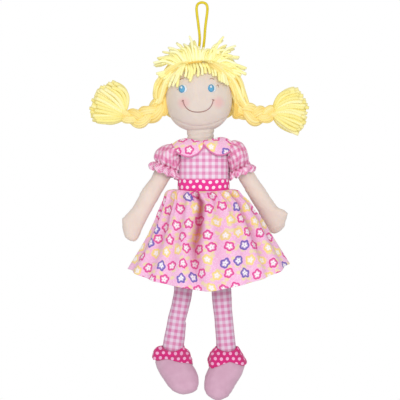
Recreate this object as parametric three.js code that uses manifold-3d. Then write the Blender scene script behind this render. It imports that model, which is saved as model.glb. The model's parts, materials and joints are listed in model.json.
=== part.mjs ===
// Rag doll that hangs by a cord loop: a stuffed cloth body in a gathered dress, with yarn plaits.
// Millimetres, +Z up, the face looks towards -Y. Left and right are the doll's own, so its left is +X.
// The origin is the top of the inside of the loop, where a hook carries the doll.

import * as THREE from 'three';
import Module from 'manifold-3d';
import { mergeVertices } from 'three/addons/utils/BufferGeometryUtils.js';

const wasm = await Module();
wasm.setup();

// Cloth and clearances
const gap = 0.3; // free space between neighbouring pieces
const bodyWall = 0.8; // cloth of the stuffed body
const dressWall = 1.0; // cloth of the dress, with its seams
const cutOverrun = 40; // how far a cutter reaches past what it cuts
const ballSides = 12;
const ballRings = 7;

// Hanging loop
const cordDiameter = 2.7;
const loopHeight = 54.4; // hook to crown
const loopWidth = 10.8; // between the middles of the two runs
const loopFootSpacing = 4.4;
const loopTilt = 1.0; // the loop leans sideways by this much at its foot
const cordSides = 8;
const cordSteps = 26;

// Head
const headWidth = 67.2;
const headHeight = 73.6;
const headDepth = 57;
const headShift = -3.1; // sideways from the hook's line
const headSides = 20;
const headRingCount = 9;
const headRoundness = 2.15;

// Face embroidery
const eyeWidth = 6.4;
const eyeHeight = 7.4;
const eyeSpacing = 29.4;
const eyeRise = 6.4; // eyes above the head's middle
const stitchHeight = 0.6; // how far embroidery stands proud of its clearance
const browWidth = 4.2;
const browThickness = 1.2;
const browRise = 16.2;
const browSpacing = 28.8;
const smileWidth = 30.4;
const smileDrop = 6.4; // mouth corners below the head's middle
const smileSag = 11.6;
const smileThickness = 1.1;

// Neck
const neckWidth = 26;
const neckDepth = 19;
const neckShow = 11; // head's underside to the nodding pivot
const neckInHead = 8;
const neckPlugRadius = 8.4; // round, so that the head can turn on it
const neckBallRadius = 9; // its foot is round about the nodding pivot
const neckTaper = 3; // from the pivot up to the full neck
const neckShift = -1.5;
const neckNodRoom = 27; // the torso and the dress leave the neck this many degrees to nod
const neckSides = 12;
const neckMouthShare = 0.6;

// Torso
const torsoWidth = 46.4;
const torsoDepth = 30;
const torsoHeight = 76;
const torsoRise = 2; // torso's top above the nodding pivot
const torsoShift = 1.6;
const torsoSides = 16;
const torsoSquareness = 2.4;

// Arms
const armLength = 101;
const armWidth = 16.8;
const armDepth = 16;
const armSides = 12;
const shoulderDrop = 9; // shoulder pivot below the torso's top
const shoulderOut = 5.5; // shoulder pivot outside the torso's side
const shoulderGatherRadius = 4.6;
const armStart = 2.6; // the arm begins this far below its pivot
const rightArmSpread = 29;
const leftArmSpread = 30;
const leftArmBack = 12; // the left hand rests behind the skirt's edge
const thumbLength = 11;
const thumbWidth = 9;
const thumbTurn = 30;

// Legs
const legLength = 130; // hip pivot to ankle pivot
const legWidth = 19.4;
const legDepth = 19;
const legSides = 12;
const hipSpacing = 22.6;
const hipDrop = 4.1; // hip pivot below the torso's seam
const hipGatherRadius = 4.6;
const legStart = 2.6;
const rightLegSpread = 8.4;
const leftLegSpread = 5;
const ankleRadius = 9;
const ankleGap = 0.9; // the foot's seat is coarser than the leg's round end
const ankleFrontRoom = 26; // the foot's rim stays this far below the ankle's level, so that it can flex
const ankleBackRoom = 10;
const ankleRowAngles = [0, 32, 64];

// Feet
const footLength = 53; // ankle pivot to toe
const footHeel = 6; // foot reaches this far behind the pivot
const footWidth = 36;
const footThickness = 27;
const footSides = 14;
const rightFootPitch = 33; // from pointing straight down, forwards
const leftFootPitch = 26;
const footToeIn = 16;

// Ankle ruffles
const ruffleRise = 5; // top edge above the ankle pivot
const ruffleDrop = 19; // hem below the top edge
const ruffleFrontDip = 4;
const ruffleWidth = 41;
const ruffleDepth = 41;
const ruffleForward = 6; // the hem lies forward over the foot
const ruffleWall = 1;
const ruffleFoldCount = 7;
const ruffleSides = 28;

// Dress
const sashHeight = 12;
const sashWall = 1.2;
const sashBelowTop = 38.4; // torso's top to the sash's upper edge
const skirtWidth = 159;
const skirtDepth = 78;
const skirtFrontDrop = 98.6;
const skirtSideLift = 23.6;
const skirtTilt = 5; // the hem hangs lower at the doll's right side by this much
const skirtShift = 7; // hem's middle, sideways from the hook's line
const skirtWall = 1.2;
const skirtSides = 60;
const collarLobeWidth = 31;
const collarLobeHeight = 21;
const collarLobeSpacing = 31.4;
const collarDrop = 8.4; // lobes' middle below the torso's top
const collarWall = 1.1;
const sleeveRise = 7.5; // puff above the shoulder pivot
const sleevePuffWidth = 27;
const sleeveGatherAt = 16; // elastic below the shoulder pivot
const sleeveFrill = 10;
const sleeveFrillWidth = 29;
const sleeveSides = 14;
const elasticThickness = 1;
const curvePieces = 9; // straight pieces in a cut outline's curve

// Hair
const hairThickness = 6;
const hairRingCount = 7;
const hairSides = 16;
const hairlineRise = 23; // hairline above the head's middle
const hairFrontEdge = -4; // front edge of the cap at the temples
const napeDrop = 27; // lower edge of the cap below the head's middle
const lockThickness = 10;
const fringeThickness = 6.5;
const strandTip = 2.6; // thickness at a lock's end
const plaitThickness = 18.5;
const plaitDepth = 19;
const tieThickness = 7.6;
const tieHeight = 5;
const tieRing = 1.5;
const tailThickness = 9;
const plaitSpacing = 86; // between the plaits' root pivots
const plaitDrop = 10.4; // root pivots below the head's middle
const sideLockThickness = 13;

// Colours
const skinColour = 0xe8d6c6;
const stuffingColour = 0xf4f2ea;
const hairColour = 0xfdf0a0;
const cordColour = 0xe8d428;
const ginghamColour = 0xee9cc6;
const legColour = 0xe4a6cc;
const printColour = 0xf4b8dc;
const sashColour = 0xf03291;
const ruffleColour = 0xda287d;
const footColour = 0xd8afc8;
const eyeColour = 0x5aa5d2;
const browColour = 0x9a6a50;
const smileColour = 0xa87876;
const elasticColour = 0xf6f6f6;
const clothRoughness = 0.9;
const threadRoughness = 0.65;

// Places, worked out from the sizes above
const middle = (spacing, side) => (side * spacing) / 2;
const radians = THREE.MathUtils.degToRad;
const crownZ = -loopHeight;
const headMiddle = new THREE.Vector3(headShift, 0, crownZ - headHeight / 2);
const neckPivot = new THREE.Vector3(neckShift, 0, crownZ - headHeight - neckShow);
const torsoTop = new THREE.Vector3(torsoShift, 0, neckPivot.z + torsoRise);
const sashTopZ = torsoTop.z - sashBelowTop;
const waistZ = sashTopZ - sashHeight;
const hipZ = torsoTop.z - torsoHeight - hipDrop;
const dressGrow = gap + dressWall;

const shoulderPivot = (side) => new THREE.Vector3(
  torsoShift + side * (torsoWidth / 2 + shoulderOut),
  0,
  torsoTop.z - shoulderDrop,
);
const hipPivot = (side) => new THREE.Vector3(torsoShift + middle(hipSpacing, side), 0, hipZ);
const plaitPivot = (side) => new THREE.Vector3(
  headShift + middle(plaitSpacing, side),
  0,
  headMiddle.z - plaitDrop,
);

const thumbDepthShare = 0.6;
const thumbDownShare = 0.83;
const thumbOutShare = 0.66;

// Rows of a stuffed form from top to bottom: how far down, half width, half depth, shift out, shift back
const torsoShares = [
  [0.012, 0.42, 0.4, 0, 0],
  [0.045, 0.72, 0.68, 0, 0],
  [0.11, 0.92, 0.86, 0, 0],
  [0.24, 0.985, 0.97, 0, 0],
  [0.42, 0.96, 1, 0, 0],
  [0.62, 0.955, 1, 0, 0],
  [0.78, 1, 0.96, 0, 0],
  [0.9, 1, 0.68, 0, 0],
  [0.97, 0.97, 0.34, 0, 0],
];
const armShares = [
  [0, 0.48, 0.48, 0, 0],
  [0.05, 0.74, 0.72, 0, 0],
  [0.12, 0.95, 0.93, 0.02, 0],
  [0.3, 0.99, 1, 0.04, 0],
  [0.52, 1, 0.98, 0.08, 0],
  [0.7, 1.08, 0.94, 0.14, 0],
  [0.82, 1.2, 0.9, 0.2, 0],
  [0.91, 1.1, 0.84, 0.08, 0],
  [0.97, 0.78, 0.6, 0, 0],
];
const legShares = [
  [0, 0.5, 0.46, 0, 0],
  [0.04, 0.78, 0.74, 0, 0],
  [0.1, 0.95, 0.95, 0, 0],
  [0.35, 0.98, 1, 0, 0],
  [0.65, 1, 0.98, 0, 0],
  [0.86, 1, 0.98, 0, 0],
];
const footShares = [
  [0.02, 0.34, 0.45, 0, 0.12],
  [0.08, 0.58, 0.74, 0, 0.12],
  [0.2, 0.86, 0.96, 0, 0.08],
  [0.38, 1, 1, 0, 0],
  [0.55, 0.97, 0.9, 0, 0],
  [0.74, 0.88, 0.82, 0, 0],
  [0.88, 0.7, 0.66, 0, 0],
  [0.97, 0.4, 0.38, 0, 0],
];

// Tips and roots of the locks of hair, in half widths, half depths and half heights of the head
const tuftTipShares = [
  [-1.34, 0.1, 0.85],
  [-1.07, 0.3, 1.16],
  [-0.92, -0.2, 1.25],
  [-0.6, 0.25, 1.42],
  [-0.28, -0.15, 1.56],
  [0.3, 0.3, 1.48],
  [0.74, 0, 1.54],
  [1.07, 0.25, 1.3],
  [1.22, -0.15, 0.98],
  [1.41, 0.1, 0.66],
];
const tuftCoreShares = [0.94, 0.68, 0.4];
const tuftCoreRiseShare = 1.02;
const tuftRootShare = 0.4; // of the tip's place
const tuftBendShares = [0.72, 0.8, 0.62, 0.1];
const fringeTipShares = [
  [-0.88, -0.66, 0.22],
  [-0.62, -0.84, 0.3],
  [-0.29, -1.04, 0.41],
  [-0.03, -1.0, 0.57],
  [0.21, -1.0, 0.64],
  [0.46, -0.94, 0.5],
  [0.66, -0.84, 0.32],
  [0.94, -0.56, 0.14],
];
const fringeRootShares = [0.36, -0.5, 1.05];
const fringeBendShares = [0.72, -0.88, 0.84];
const fringeLieShares = [-0.12, -0.08, 1.3]; // how bend and tip lie on the brow, and the bend's thickness
const sideLockShares = [
  [0.86, -0.28, 0.86, 0.7],
  [1.08, -0.22, 0.5, 0.95],
  [1.2, -0.1, 0.12, 1],
  [1.2, 0, -0.12, 0.8],
];
// The plait's lumps, its tie and the tips of its tail, in plait thicknesses from its root pivot:
// out, back, up, size
const plaitShares = {
  right: {
    lumps: [[0, 0, 0, 0.92], [0.36, 0.02, -0.42, 0.98], [1.06, 0, -0.62, 0.9]],
    tie: [1.76, 0, -0.43],
    tips: [[2.28, 0.1, 1.33], [3.17, -0.15, 0.96], [3.49, 0.1, 0.22], [3.51, -0.1, -0.7], [2.6, 0.15, -0.96]],
  },
  left: {
    lumps: [[0, 0, 0, 0.92], [0.52, 0.02, -0.46, 0.98], [1.18, 0, -0.49, 0.86]],
    tie: [1.78, 0, -0.35],
    tips: [[2.98, 0.1, 0.92], [3.6, -0.15, 0.3], [3.46, 0.1, -0.5], [3.07, -0.1, -1.5]],
  },
};

// The skirt's folds: direction and half width in degrees, depth in skirt walls
const skirtFoldShares = [
  [260, 6.5, 7],
  [282, 7, 2.8],
  [303, 7, 2.4],
  [321, 7, 4.6],
  [345, 8, 2.8],
  [238, 7, 3],
  [216, 8, 3.8],
  [193, 8, 2.8],
  [14, 9, 3.3],
  [40, 10, 3.8],
  [66, 9, 3.5],
  [92, 9, 5.6],
  [118, 9, 3.8],
  [144, 9, 3.5],
  [169, 8, 3],
];
// Beside a fold the cloth stands out by this share of the fold's depth, over this share of its width
const skirtSwellShares = [0.42, 2.4];

const plaitNeckShare = 0.6; // the plait thins to its tie
const tailBendShare = 0.55; // where a lock of the tail is thickest
const tailRootShare = 0.8;

// Rows of a flounce from its top down: share of its drop, its flare, its folds and its sideways shift
const skirtFlareShares = [
  [0, 0, 0, 0],
  [0.03, 0.18, 0.45, 0],
  [0.14, 0.33, 0.8, 0.2],
  [0.28, 0.45, 1, 0.5],
  [0.4, 0.545, 1, 0.8],
  [0.66, 0.725, 1, 1],
  [1, 1, 1, 1],
];
const ruffleFlareShares = [[0, 0, 0, 0], [0.18, 0.45, 0.4, 0], [0.55, 0.85, 0.9, 0], [1, 1, 1, 0]];
const skirtLiftPower = 1.6; // how steeply a skirt's hem climbs to its sides
const ruffleLiftPower = 2;

const material = (colour, roughness = clothRoughness) => new THREE.MeshStandardMaterial({
  color: colour,
  roughness,
  metalness: 0,
});

// A closed mesh from points and triangles, turned so that its faces point out.
function closedMesh(points, faces) {
  const volume = faces.reduce((sum, [a, b, c]) => sum + points[a].dot(points[b].clone().cross(points[c])), 0);
  const outward = volume < 0 ? faces.map(([a, b, c]) => [a, c, b]) : faces;
  const geometry = new THREE.BufferGeometry();
  geometry.setAttribute('position', new THREE.Float32BufferAttribute(points.flatMap((p) => p.toArray()), 3));
  geometry.setIndex(outward.flat());
  return geometry;
}

// Rings joined one to the next. With poles the ends close in a fan.
// Without them the last ring joins the first.
function loft(rings, poles = null) {
  const sides = rings[0].length;
  const points = rings.flat();
  const faces = [];
  const spans = poles ? rings.length - 1 : rings.length;
  for (let i = 0; i < spans; i += 1) {
    const here = i * sides;
    const there = ((i + 1) % rings.length) * sides;
    for (let k = 0; k < sides; k += 1) {
      const next = (k + 1) % sides;
      faces.push([here + k, here + next, there + next], [here + k, there + next, there + k]);
    }
  }
  if (poles) {
    const last = (rings.length - 1) * sides;
    for (let k = 0; k < sides; k += 1) {
      const next = (k + 1) % sides;
      faces.push([points.length, next, k], [points.length + 1, last + k, last + next]);
    }
    points.push(...poles);
  }
  return closedMesh(points, faces);
}

// One level ring, an ellipse or a squarer oval.
function ring(centre, halfWidth, halfDepth, sides, squareness = 2) {
  return Array.from({ length: sides }, (_, k) => {
    const angle = (2 * Math.PI * k) / sides;
    const bulge = (value) => Math.sign(value) * Math.abs(value) ** (2 / squareness);
    return new THREE.Vector3(
      centre.x + halfWidth * bulge(Math.cos(angle)),
      centre.y + halfDepth * bulge(Math.sin(angle)),
      centre.z,
    );
  });
}

// The rings and poles of a stuffed form that hangs down from its own origin,
// moved out along its normals by grow
function stuffedForm(form, grow) {
  const rows = form.shares.map(([down, wide, deep, out, back]) => ({
    x: (out * form.width) / 2,
    y: (back * form.depth) / 2,
    z: form.top - down * form.length,
    wide: (wide * form.width) / 2,
    deep: (deep * form.depth) / 2,
  }));
  const girth = (row) => (row.wide + row.deep) / 2;
  const first = rows[0];
  const last = rows[rows.length - 1];
  const above = { ...first, z: form.top, wide: 0, deep: 0 };
  const below = { ...last, z: form.top - form.length, wide: 0, deep: 0 };
  const path = [above, ...rows, below];
  const rings = rows.map((row, i) => {
    const run = new THREE.Vector2(girth(path[i + 2]) - girth(path[i]), path[i + 2].z - path[i].z).normalize();
    const centre = new THREE.Vector3(row.x, row.y, row.z + grow * run.x);
    const spread = -grow * run.y;
    return ring(centre, row.wide + spread, row.deep + spread, form.sides, form.squareness);
  });
  const poles = [
    new THREE.Vector3(first.x, first.y, above.z + grow),
    new THREE.Vector3(last.x, last.y, below.z - grow),
  ];
  return { rings, poles };
}

// The whole outside of a stuffed form.
function formSkin(form, grow = 0) {
  const { rings, poles } = stuffedForm(form, grow);
  return loft(rings, poles);
}

// The same form with about every other row, for what lies hidden inside it
const plainer = (form) => ({
  ...form,
  shares: form.shares.filter((_, i) => i % 2 === 0 || i >= form.shares.length - 2),
});

const roundShares = (count, roundness) => Array.from({ length: count }, (_, i) => {
  const rise = Math.cos((Math.PI * (i + 1)) / (count + 1));
  const share = (1 - Math.abs(rise) ** roundness) ** (1 / roundness);
  return [(1 - rise) / 2, share, share, 0, 0];
});

const headForm = {
  shares: roundShares(headRingCount, headRoundness),
  width: headWidth,
  depth: headDepth,
  length: headHeight,
  top: headHeight / 2,
  sides: headSides,
};
// The head again with fewer faces, under the hair
const hairForm = { ...headForm, shares: roundShares(hairRingCount, headRoundness), sides: hairSides };
const torsoForm = {
  shares: torsoShares,
  width: torsoWidth,
  depth: torsoDepth,
  length: torsoHeight,
  top: 0,
  sides: torsoSides,
  squareness: torsoSquareness,
};
const armForm = (side) => ({
  shares: armShares.map(([down, wide, deep, out, back]) => [down, wide, deep, side * out, back]),
  width: armWidth,
  depth: armDepth,
  length: armLength - armStart,
  top: -armStart,
  sides: armSides,
});
const legRun = legLength - legStart + ankleRadius;
const ankleRows = ankleRowAngles.map((angle) => {
  const girth = ankleRadius * Math.cos(radians(angle));
  const down = legLength - legStart + ankleRadius * Math.sin(radians(angle));
  return [down / legRun, girth / (legWidth / 2), girth / (legDepth / 2), 0, 0];
});
const legForm = {
  shares: [...legShares, ...ankleRows],
  width: legWidth,
  depth: legDepth,
  length: legRun,
  top: -legStart,
  sides: legSides,
};
const footForm = {
  shares: footShares,
  width: footWidth,
  depth: footThickness,
  length: footLength + footHeel,
  top: footHeel,
  sides: footSides,
};

// Joins and cuts
function solid(geometry) {
  const bare = geometry.clone();
  bare.deleteAttribute('normal');
  bare.deleteAttribute('uv');
  const merged = mergeVertices(bare);
  return new wasm.Manifold(new wasm.Mesh({
    numProp: 3,
    vertProperties: new Float32Array(merged.attributes.position.array),
    triVerts: new Uint32Array(merged.index.array),
  }));
}

function geometryOf(shape) {
  const { vertProperties, triVerts } = shape.getMesh();
  const geometry = new THREE.BufferGeometry();
  geometry.setAttribute('position', new THREE.BufferAttribute(vertProperties, 3));
  geometry.setIndex(new THREE.BufferAttribute(triVerts, 1));
  return geometry;
}

const joined = (geometries) => geometryOf(geometries.map(solid).reduce((sum, one) => sum.add(one)));
const cut = (geometry, ...cutters) => geometryOf(
  cutters.map(solid).reduce((rest, one) => rest.subtract(one), solid(geometry)),
);
// The largest body of a shape, without the slivers that a cut can leave beside it
const largest = (geometry) => geometryOf(
  solid(geometry).decompose().reduce((most, one) => (one.volume() > most.volume() ? one : most)),
);
const shared = (a, b) => geometryOf(solid(a).intersect(solid(b)));
const moved = (geometry, matrix) => geometry.clone().applyMatrix4(matrix);
const shifted = (geometry, place) => geometry.clone().translate(place.x, place.y, place.z);
const ball = (radius, place = new THREE.Vector3()) => shifted(
  new THREE.SphereGeometry(radius, ballSides, ballRings),
  place,
);

// A stuffed bag in two pieces: the cover, open where it is sewn on, and the filling inside it.
function bag(form, openings) {
  const inside = plainer(form);
  const cover = cut(formSkin(form), formSkin(inside, -bodyWall), ...openings);
  const filling = cut(formSkin(inside, -bodyWall - gap), ...openings);
  return { cover, filling };
}

const doll = new THREE.Group();

function addPiece(name, geometry, parent, colour, roughness) {
  const piece = new THREE.Mesh(geometry, material(colour, roughness));
  piece.name = name;
  geometry.computeVertexNormals();
  parent.add(piece);
}

function placedGroup(place, turn = new THREE.Euler()) {
  const group = new THREE.Group();
  group.position.copy(place);
  group.rotation.copy(turn);
  doll.add(group);
  group.updateMatrixWorld(true);
  return group;
}

// A geometry in the doll's frame, seen from a placed group
const seenFrom = (geometry, group) => moved(geometry, group.matrixWorld.clone().invert());

// Hanging loop
function loopCurve() {
  const foot = (side) => new THREE.Vector3(
    headShift + loopTilt + middle(loopFootSpacing, side),
    0,
    crownZ + gap + cordDiameter / 2,
  );
  const bow = (side, widthShare, heightShare) => new THREE.Vector3(
    middle(loopWidth, side) * widthShare,
    0,
    cordDiameter / 2 - loopHeight * heightShare,
  );
  const top = new THREE.Vector3(0, 0, cordDiameter / 2);
  const bowShares = [[0.74, 0.028], [1, 0.1], [0.92, 0.22], [0.62, 0.45], [0.42, 0.7]];
  const right = bowShares.map(([wide, down]) => bow(-1, wide, down));
  const left = bowShares.map(([wide, down]) => bow(1, wide, down));
  return new THREE.CatmullRomCurve3([foot(-1), ...right.reverse(), top, ...left, foot(1)]);
}

function cordAlong(curve, diameter, sides, steps) {
  const section = new THREE.Shape();
  for (let k = 0; k < sides; k += 1) {
    const angle = (2 * Math.PI * k) / sides;
    const corner = [(diameter / 2) * Math.cos(angle), (diameter / 2) * Math.sin(angle)];
    if (k === 0) section.moveTo(...corner);
    else section.lineTo(...corner);
  }
  section.closePath();
  return new THREE.ExtrudeGeometry(section, { extrudePath: curve, steps, bevelEnabled: false });
}

const loopCord = cordAlong(loopCurve(), cordDiameter, cordSides, cordSteps);
const loopRoom = cordAlong(loopCurve(), cordDiameter + 2 * gap, cordSides, cordSteps);
addPiece('hanging_loop', loopCord, doll, cordColour, threadRoughness);

// Head, neck and torso
const headGroup = placedGroup(headMiddle);
const neckGroup = placedGroup(neckPivot);
const torsoGroup = placedGroup(torsoTop);

const lathe = (points, sides) => new THREE.LatheGeometry(points, sides).rotateX(Math.PI / 2);
const point = (x, y) => new THREE.Vector2(x, y);
const quarterBall = (radius) => [0, 1, 2, 3].map((k) => {
  const angle = (Math.PI / 2) * (k / 3);
  return point(radius * Math.sin(angle), -radius * Math.cos(angle));
});
const widened = (geometry) => geometry.scale(neckWidth / neckDepth, 1, 1);
const facetSpare = (radius, sides) => radius * (1 / Math.cos(Math.PI / sides) - 1);

// The head's underside as it sweeps round the neck: round, and as wide as the head ever reaches
const sweptWidth = headWidth + 2 * Math.abs(headShift - neckShift) + facetSpare(headWidth, headSides);
const turningForm = { ...headForm, width: sweptWidth, depth: sweptWidth };

// The neck: a ball at its foot, an oval column, and a round plug that the head turns on
function neckPlug(grow) {
  const top = neckShow + neckInHead + grow;
  const radius = neckPlugRadius + grow;
  return lathe([point(0, 0), point(radius, 0), point(radius, top), point(0, top)], neckSides);
}
function neckSkin(grow) {
  const column = widened(lathe([
    ...quarterBall(neckBallRadius + grow),
    point(neckDepth / 2 + grow, neckTaper),
    point(neckDepth / 2 + grow, neckShow + neckInHead / 2),
    point(0, neckShow + neckInHead / 2 + grow),
  ], neckSides));
  const headAbove = new THREE.Vector3(0, 0, headMiddle.z - neckPivot.z);
  const aboveHead = shifted(formSkin(turningForm, gap - grow), headAbove);
  return joined([cut(column, aboveHead), neckPlug(grow)]);
}

const plugGap = gap + facetSpare(neckPlugRadius, neckSides);
const plugFromHead = shifted(neckPlug(plugGap), neckPivot.clone().sub(headMiddle));
const headBag = bag(headForm, [plugFromHead]);
addPiece('head_cover', headBag.cover, headGroup, skinColour);
addPiece('head_stuffing', headBag.filling, headGroup, stuffingColour);

// The neck's cover is open at its foot, where it is sewn into the torso.
const neckMouth = ball(neckMouthShare * neckBallRadius, new THREE.Vector3(0, 0, -neckBallRadius));
addPiece('neck_cover', cut(neckSkin(0), neckSkin(-bodyWall), neckMouth), neckGroup, skinColour);
addPiece('neck_stuffing', cut(neckSkin(-bodyWall - gap), neckMouth), neckGroup, stuffingColour);

// The room that the neck needs in the torso and in the dress, as it nods
const ballGap = gap + facetSpare(neckBallRadius, neckSides);
const neckReach = Math.hypot(neckDepth / 2, neckTaper) + ballGap;
const nodReach = neckDepth / 2 / Math.cos(radians(neckNodRoom)) + ballGap;
const neckRoom = shifted(
  widened(lathe([
    ...quarterBall(neckBallRadius + ballGap).slice(0, 3),
    point(neckReach, -neckTaper),
    point(nodReach, 0),
    point(nodReach + cutOverrun * Math.tan(radians(neckNodRoom)), cutOverrun),
    point(0, cutOverrun),
  ], neckSides)),
  neckPivot.clone().sub(torsoTop),
);
const shoulderRoom = [-1, 1].map((side) => ball(
  shoulderGatherRadius + gap,
  shoulderPivot(side).sub(torsoTop),
));
const hipRoom = [-1, 1].map((side) => ball(hipGatherRadius + gap, hipPivot(side).sub(torsoTop)));
const torsoBag = bag(torsoForm, [neckRoom]);
addPiece('torso_cover', cut(torsoBag.cover, ...shoulderRoom, ...hipRoom), torsoGroup, skinColour);
addPiece('torso_stuffing', cut(torsoBag.filling, ...shoulderRoom, ...hipRoom), torsoGroup, stuffingColour);

// Dress bodice, sash and collar
const slab = (lowZ, highZ) => {
  const block = new THREE.BoxGeometry(cutOverrun * 4, cutOverrun * 4, highZ - lowZ);
  return block.translate(0, 0, (lowZ + highZ) / 2);
};
const bodiceLow = waistZ - torsoTop.z;
const bodiceShell = cut(
  formSkin(torsoForm, dressGrow),
  formSkin(torsoForm, gap),
  slab(bodiceLow - cutOverrun * 2, bodiceLow),
  neckRoom,
  ...shoulderRoom,
);
addPiece('bodice', bodiceShell, torsoGroup, ginghamColour);

const sashBand = cut(
  shared(formSkin(torsoForm, dressGrow + gap + sashWall), slab(bodiceLow, sashTopZ - torsoTop.z)),
  formSkin(torsoForm, dressGrow + gap),
);
addPiece('sash', sashBand, torsoGroup, sashColour);

function collarLobe(side) {
  const outline = new THREE.Shape();
  outline.absellipse(0, 0, collarLobeWidth / 2, collarLobeHeight / 2, 0, 2 * Math.PI);
  const block = new THREE.ExtrudeGeometry(outline, {
    depth: 2 * cutOverrun,
    curveSegments: curvePieces,
    bevelEnabled: false,
  });
  block.translate(0, 0, -cutOverrun);
  block.rotateX(Math.PI / 2);
  block.translate(middle(collarLobeSpacing, side), 0, -collarDrop);
  const half = new THREE.BoxGeometry(cutOverrun, 4 * cutOverrun, 4 * cutOverrun);
  half.translate(side * (cutOverrun / 2 + gap / 2), 0, 0);
  const shell = cut(
    formSkin(torsoForm, dressGrow + gap + collarWall),
    formSkin(torsoForm, dressGrow + gap),
    neckRoom,
    ...shoulderRoom,
  );
  return shared(shared(shell, block), half);
}
addPiece('right_collar', collarLobe(-1), torsoGroup, printColour);
addPiece('left_collar', collarLobe(1), torsoGroup, printColour);

// Skirt and ruffles: rows of a flared cloth with folds that deepen towards the hem
function flounce(shape, shares, sides) {
  const row = ([down, flare, fold, aside], inset) => Array.from({ length: sides }, (_, k) => {
    const angle = (2 * Math.PI * k) / sides;
    const across = Math.cos(angle);
    const lift = shape.sideLift * Math.abs(across) ** shape.liftPower;
    const drop = shape.drop - lift - (shape.tilt / 2) * across;
    const wave = fold * shape.folds(angle);
    const halfWidth = THREE.MathUtils.lerp(shape.topWidth, shape.width, flare) / 2 + wave - inset;
    const halfDepth = THREE.MathUtils.lerp(shape.topDepth, shape.depth, flare) / 2 + wave - inset;
    return new THREE.Vector3(
      shape.shift * aside + halfWidth * across,
      halfDepth * Math.sin(angle) - shape.forward * flare,
      -down * drop,
    );
  });
  const outer = shares.map((share) => row(share, 0));
  const inner = shares.map((share) => row(share, shape.wall)).reverse();
  return loft([...outer, ...inner]);
}

// How far the skirt's cloth stands out, or in, at an angle round its hem
function skirtFolds(angle) {
  const [high, wide] = skirtSwellShares;
  const waves = skirtFoldShares.map(([at, half, deep]) => {
    const off = Math.atan2(Math.sin(angle - radians(at)), Math.cos(angle - radians(at))) / radians(half);
    return deep * skirtWall * (high * Math.exp(-((off / wide) ** 2)) - Math.exp(-off * off));
  });
  return waves.reduce((sum, wave) => sum + wave, 0);
}

const skirtTopGrow = 2 * (dressGrow + gap + skirtWall);
const skirtGroup = placedGroup(new THREE.Vector3(torsoShift, 0, waistZ - gap));
const skirtCloth = flounce({
  topWidth: torsoWidth + skirtTopGrow,
  topDepth: torsoDepth + skirtTopGrow,
  width: skirtWidth,
  depth: skirtDepth,
  drop: skirtFrontDrop,
  sideLift: skirtSideLift,
  liftPower: skirtLiftPower,
  tilt: skirtTilt,
  shift: skirtShift - torsoShift,
  forward: 0,
  folds: skirtFolds,
  wall: skirtWall,
}, skirtFlareShares, skirtSides);
addPiece('skirt', skirtCloth, skirtGroup, printColour);

// Arms with their sleeves. Each arm hangs in a group at its shoulder pivot.
const sleeveShares = [
  [-0.8, 0.5],
  [-0.36, 0.86],
  [0.25, 1],
  [0.66, 0.93],
];
const frillShares = [0.45, 0.7]; // down the frill, and how much of its flare is there
const sleeveOutShare = 0.02;
const sleeveMiddle = (side, z) => new THREE.Vector3(side * sleeveOutShare * armWidth, 0, z);

function sleeveRings(inset, side) {
  const gathered = armWidth / 2 + 2 * gap + elasticThickness + dressWall - inset;
  const puff = sleeveShares.map(([down, wide]) => [
    down < 0 ? -down * (sleeveRise - inset) : -down * sleeveGatherAt,
    (wide * sleevePuffWidth) / 2 - inset,
  ]);
  const frillTop = sleeveGatherAt + elasticThickness * 2;
  const [frillDown, frillFlare] = frillShares;
  const rows = [
    ...puff,
    [-sleeveGatherAt, gathered],
    [-frillTop, gathered],
    [
      -frillTop - frillDown * sleeveFrill,
      THREE.MathUtils.lerp(gathered, sleeveFrillWidth / 2 - inset, frillFlare),
    ],
    [-sleeveGatherAt - sleeveFrill, sleeveFrillWidth / 2 - inset],
  ];
  return rows.map(([z, half]) => ring(sleeveMiddle(side, z), half, half, sleeveSides));
}

// From the dome's outside down to the frill's edge and back up inside
function sleeve(side) {
  const outer = sleeveRings(0, side);
  const inner = sleeveRings(dressWall, side);
  const outerPole = new THREE.Vector3(0, 0, sleeveRise);
  const innerPole = new THREE.Vector3(0, 0, sleeveRise - dressWall);
  return loft([...outer, ...inner.reverse()], [outerPole, innerPole]);
}

function elastic(side) {
  const inside = armWidth / 2 + gap;
  const outside = inside + elasticThickness;
  const top = sleeveMiddle(side, -sleeveGatherAt - elasticThickness / 2);
  const low = sleeveMiddle(side, top.z - elasticThickness);
  return loft([
    ring(top, inside, inside, sleeveSides),
    ring(top, outside, outside, sleeveSides),
    ring(low, outside, outside, sleeveSides),
    ring(low, inside, inside, sleeveSides),
  ]);
}

function addArm(name, side, spread, back) {
  const pivot = shoulderPivot(side);
  const turn = new THREE.Euler(radians(back), -side * radians(spread), 0, 'YXZ');
  const gatherGroup = placedGroup(pivot);
  const group = placedGroup(pivot, turn);
  addPiece(`${name}_shoulder_gather`, ball(shoulderGatherRadius), gatherGroup, skinColour);
  const gatherRoom = ball(shoulderGatherRadius + gap);
  const arm = bag(armForm(side), [gatherRoom]);
  const thumb = new THREE.SphereGeometry(1, 8, 6);
  thumb.scale(thumbLength / 2, (thumbDepthShare * armDepth) / 2, thumbWidth / 2);
  thumb.rotateY(side * radians(thumbTurn));
  const thumbDown = THREE.MathUtils.lerp(armStart, armLength, thumbDownShare);
  thumb.translate(side * thumbOutShare * armWidth, 0, -thumbDown);
  const mitten = joined([arm.cover, cut(thumb, formSkin(plainer(armForm(side)), -bodyWall))]);
  addPiece(`${name}_arm_cover`, mitten, group, skinColour);
  addPiece(`${name}_arm_stuffing`, arm.filling, group, stuffingColour);
  const dressSide = seenFrom(shifted(formSkin(torsoForm, dressGrow + 2 * gap + collarWall), torsoTop), group);
  addPiece(`${name}_sleeve`, cut(sleeve(side), dressSide), group, ginghamColour);
  addPiece(`${name}_sleeve_elastic`, elastic(side), group, elasticColour);
}
addArm('right', -1, rightArmSpread, 0);
addArm('left', 1, leftArmSpread, leftArmBack);

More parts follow.
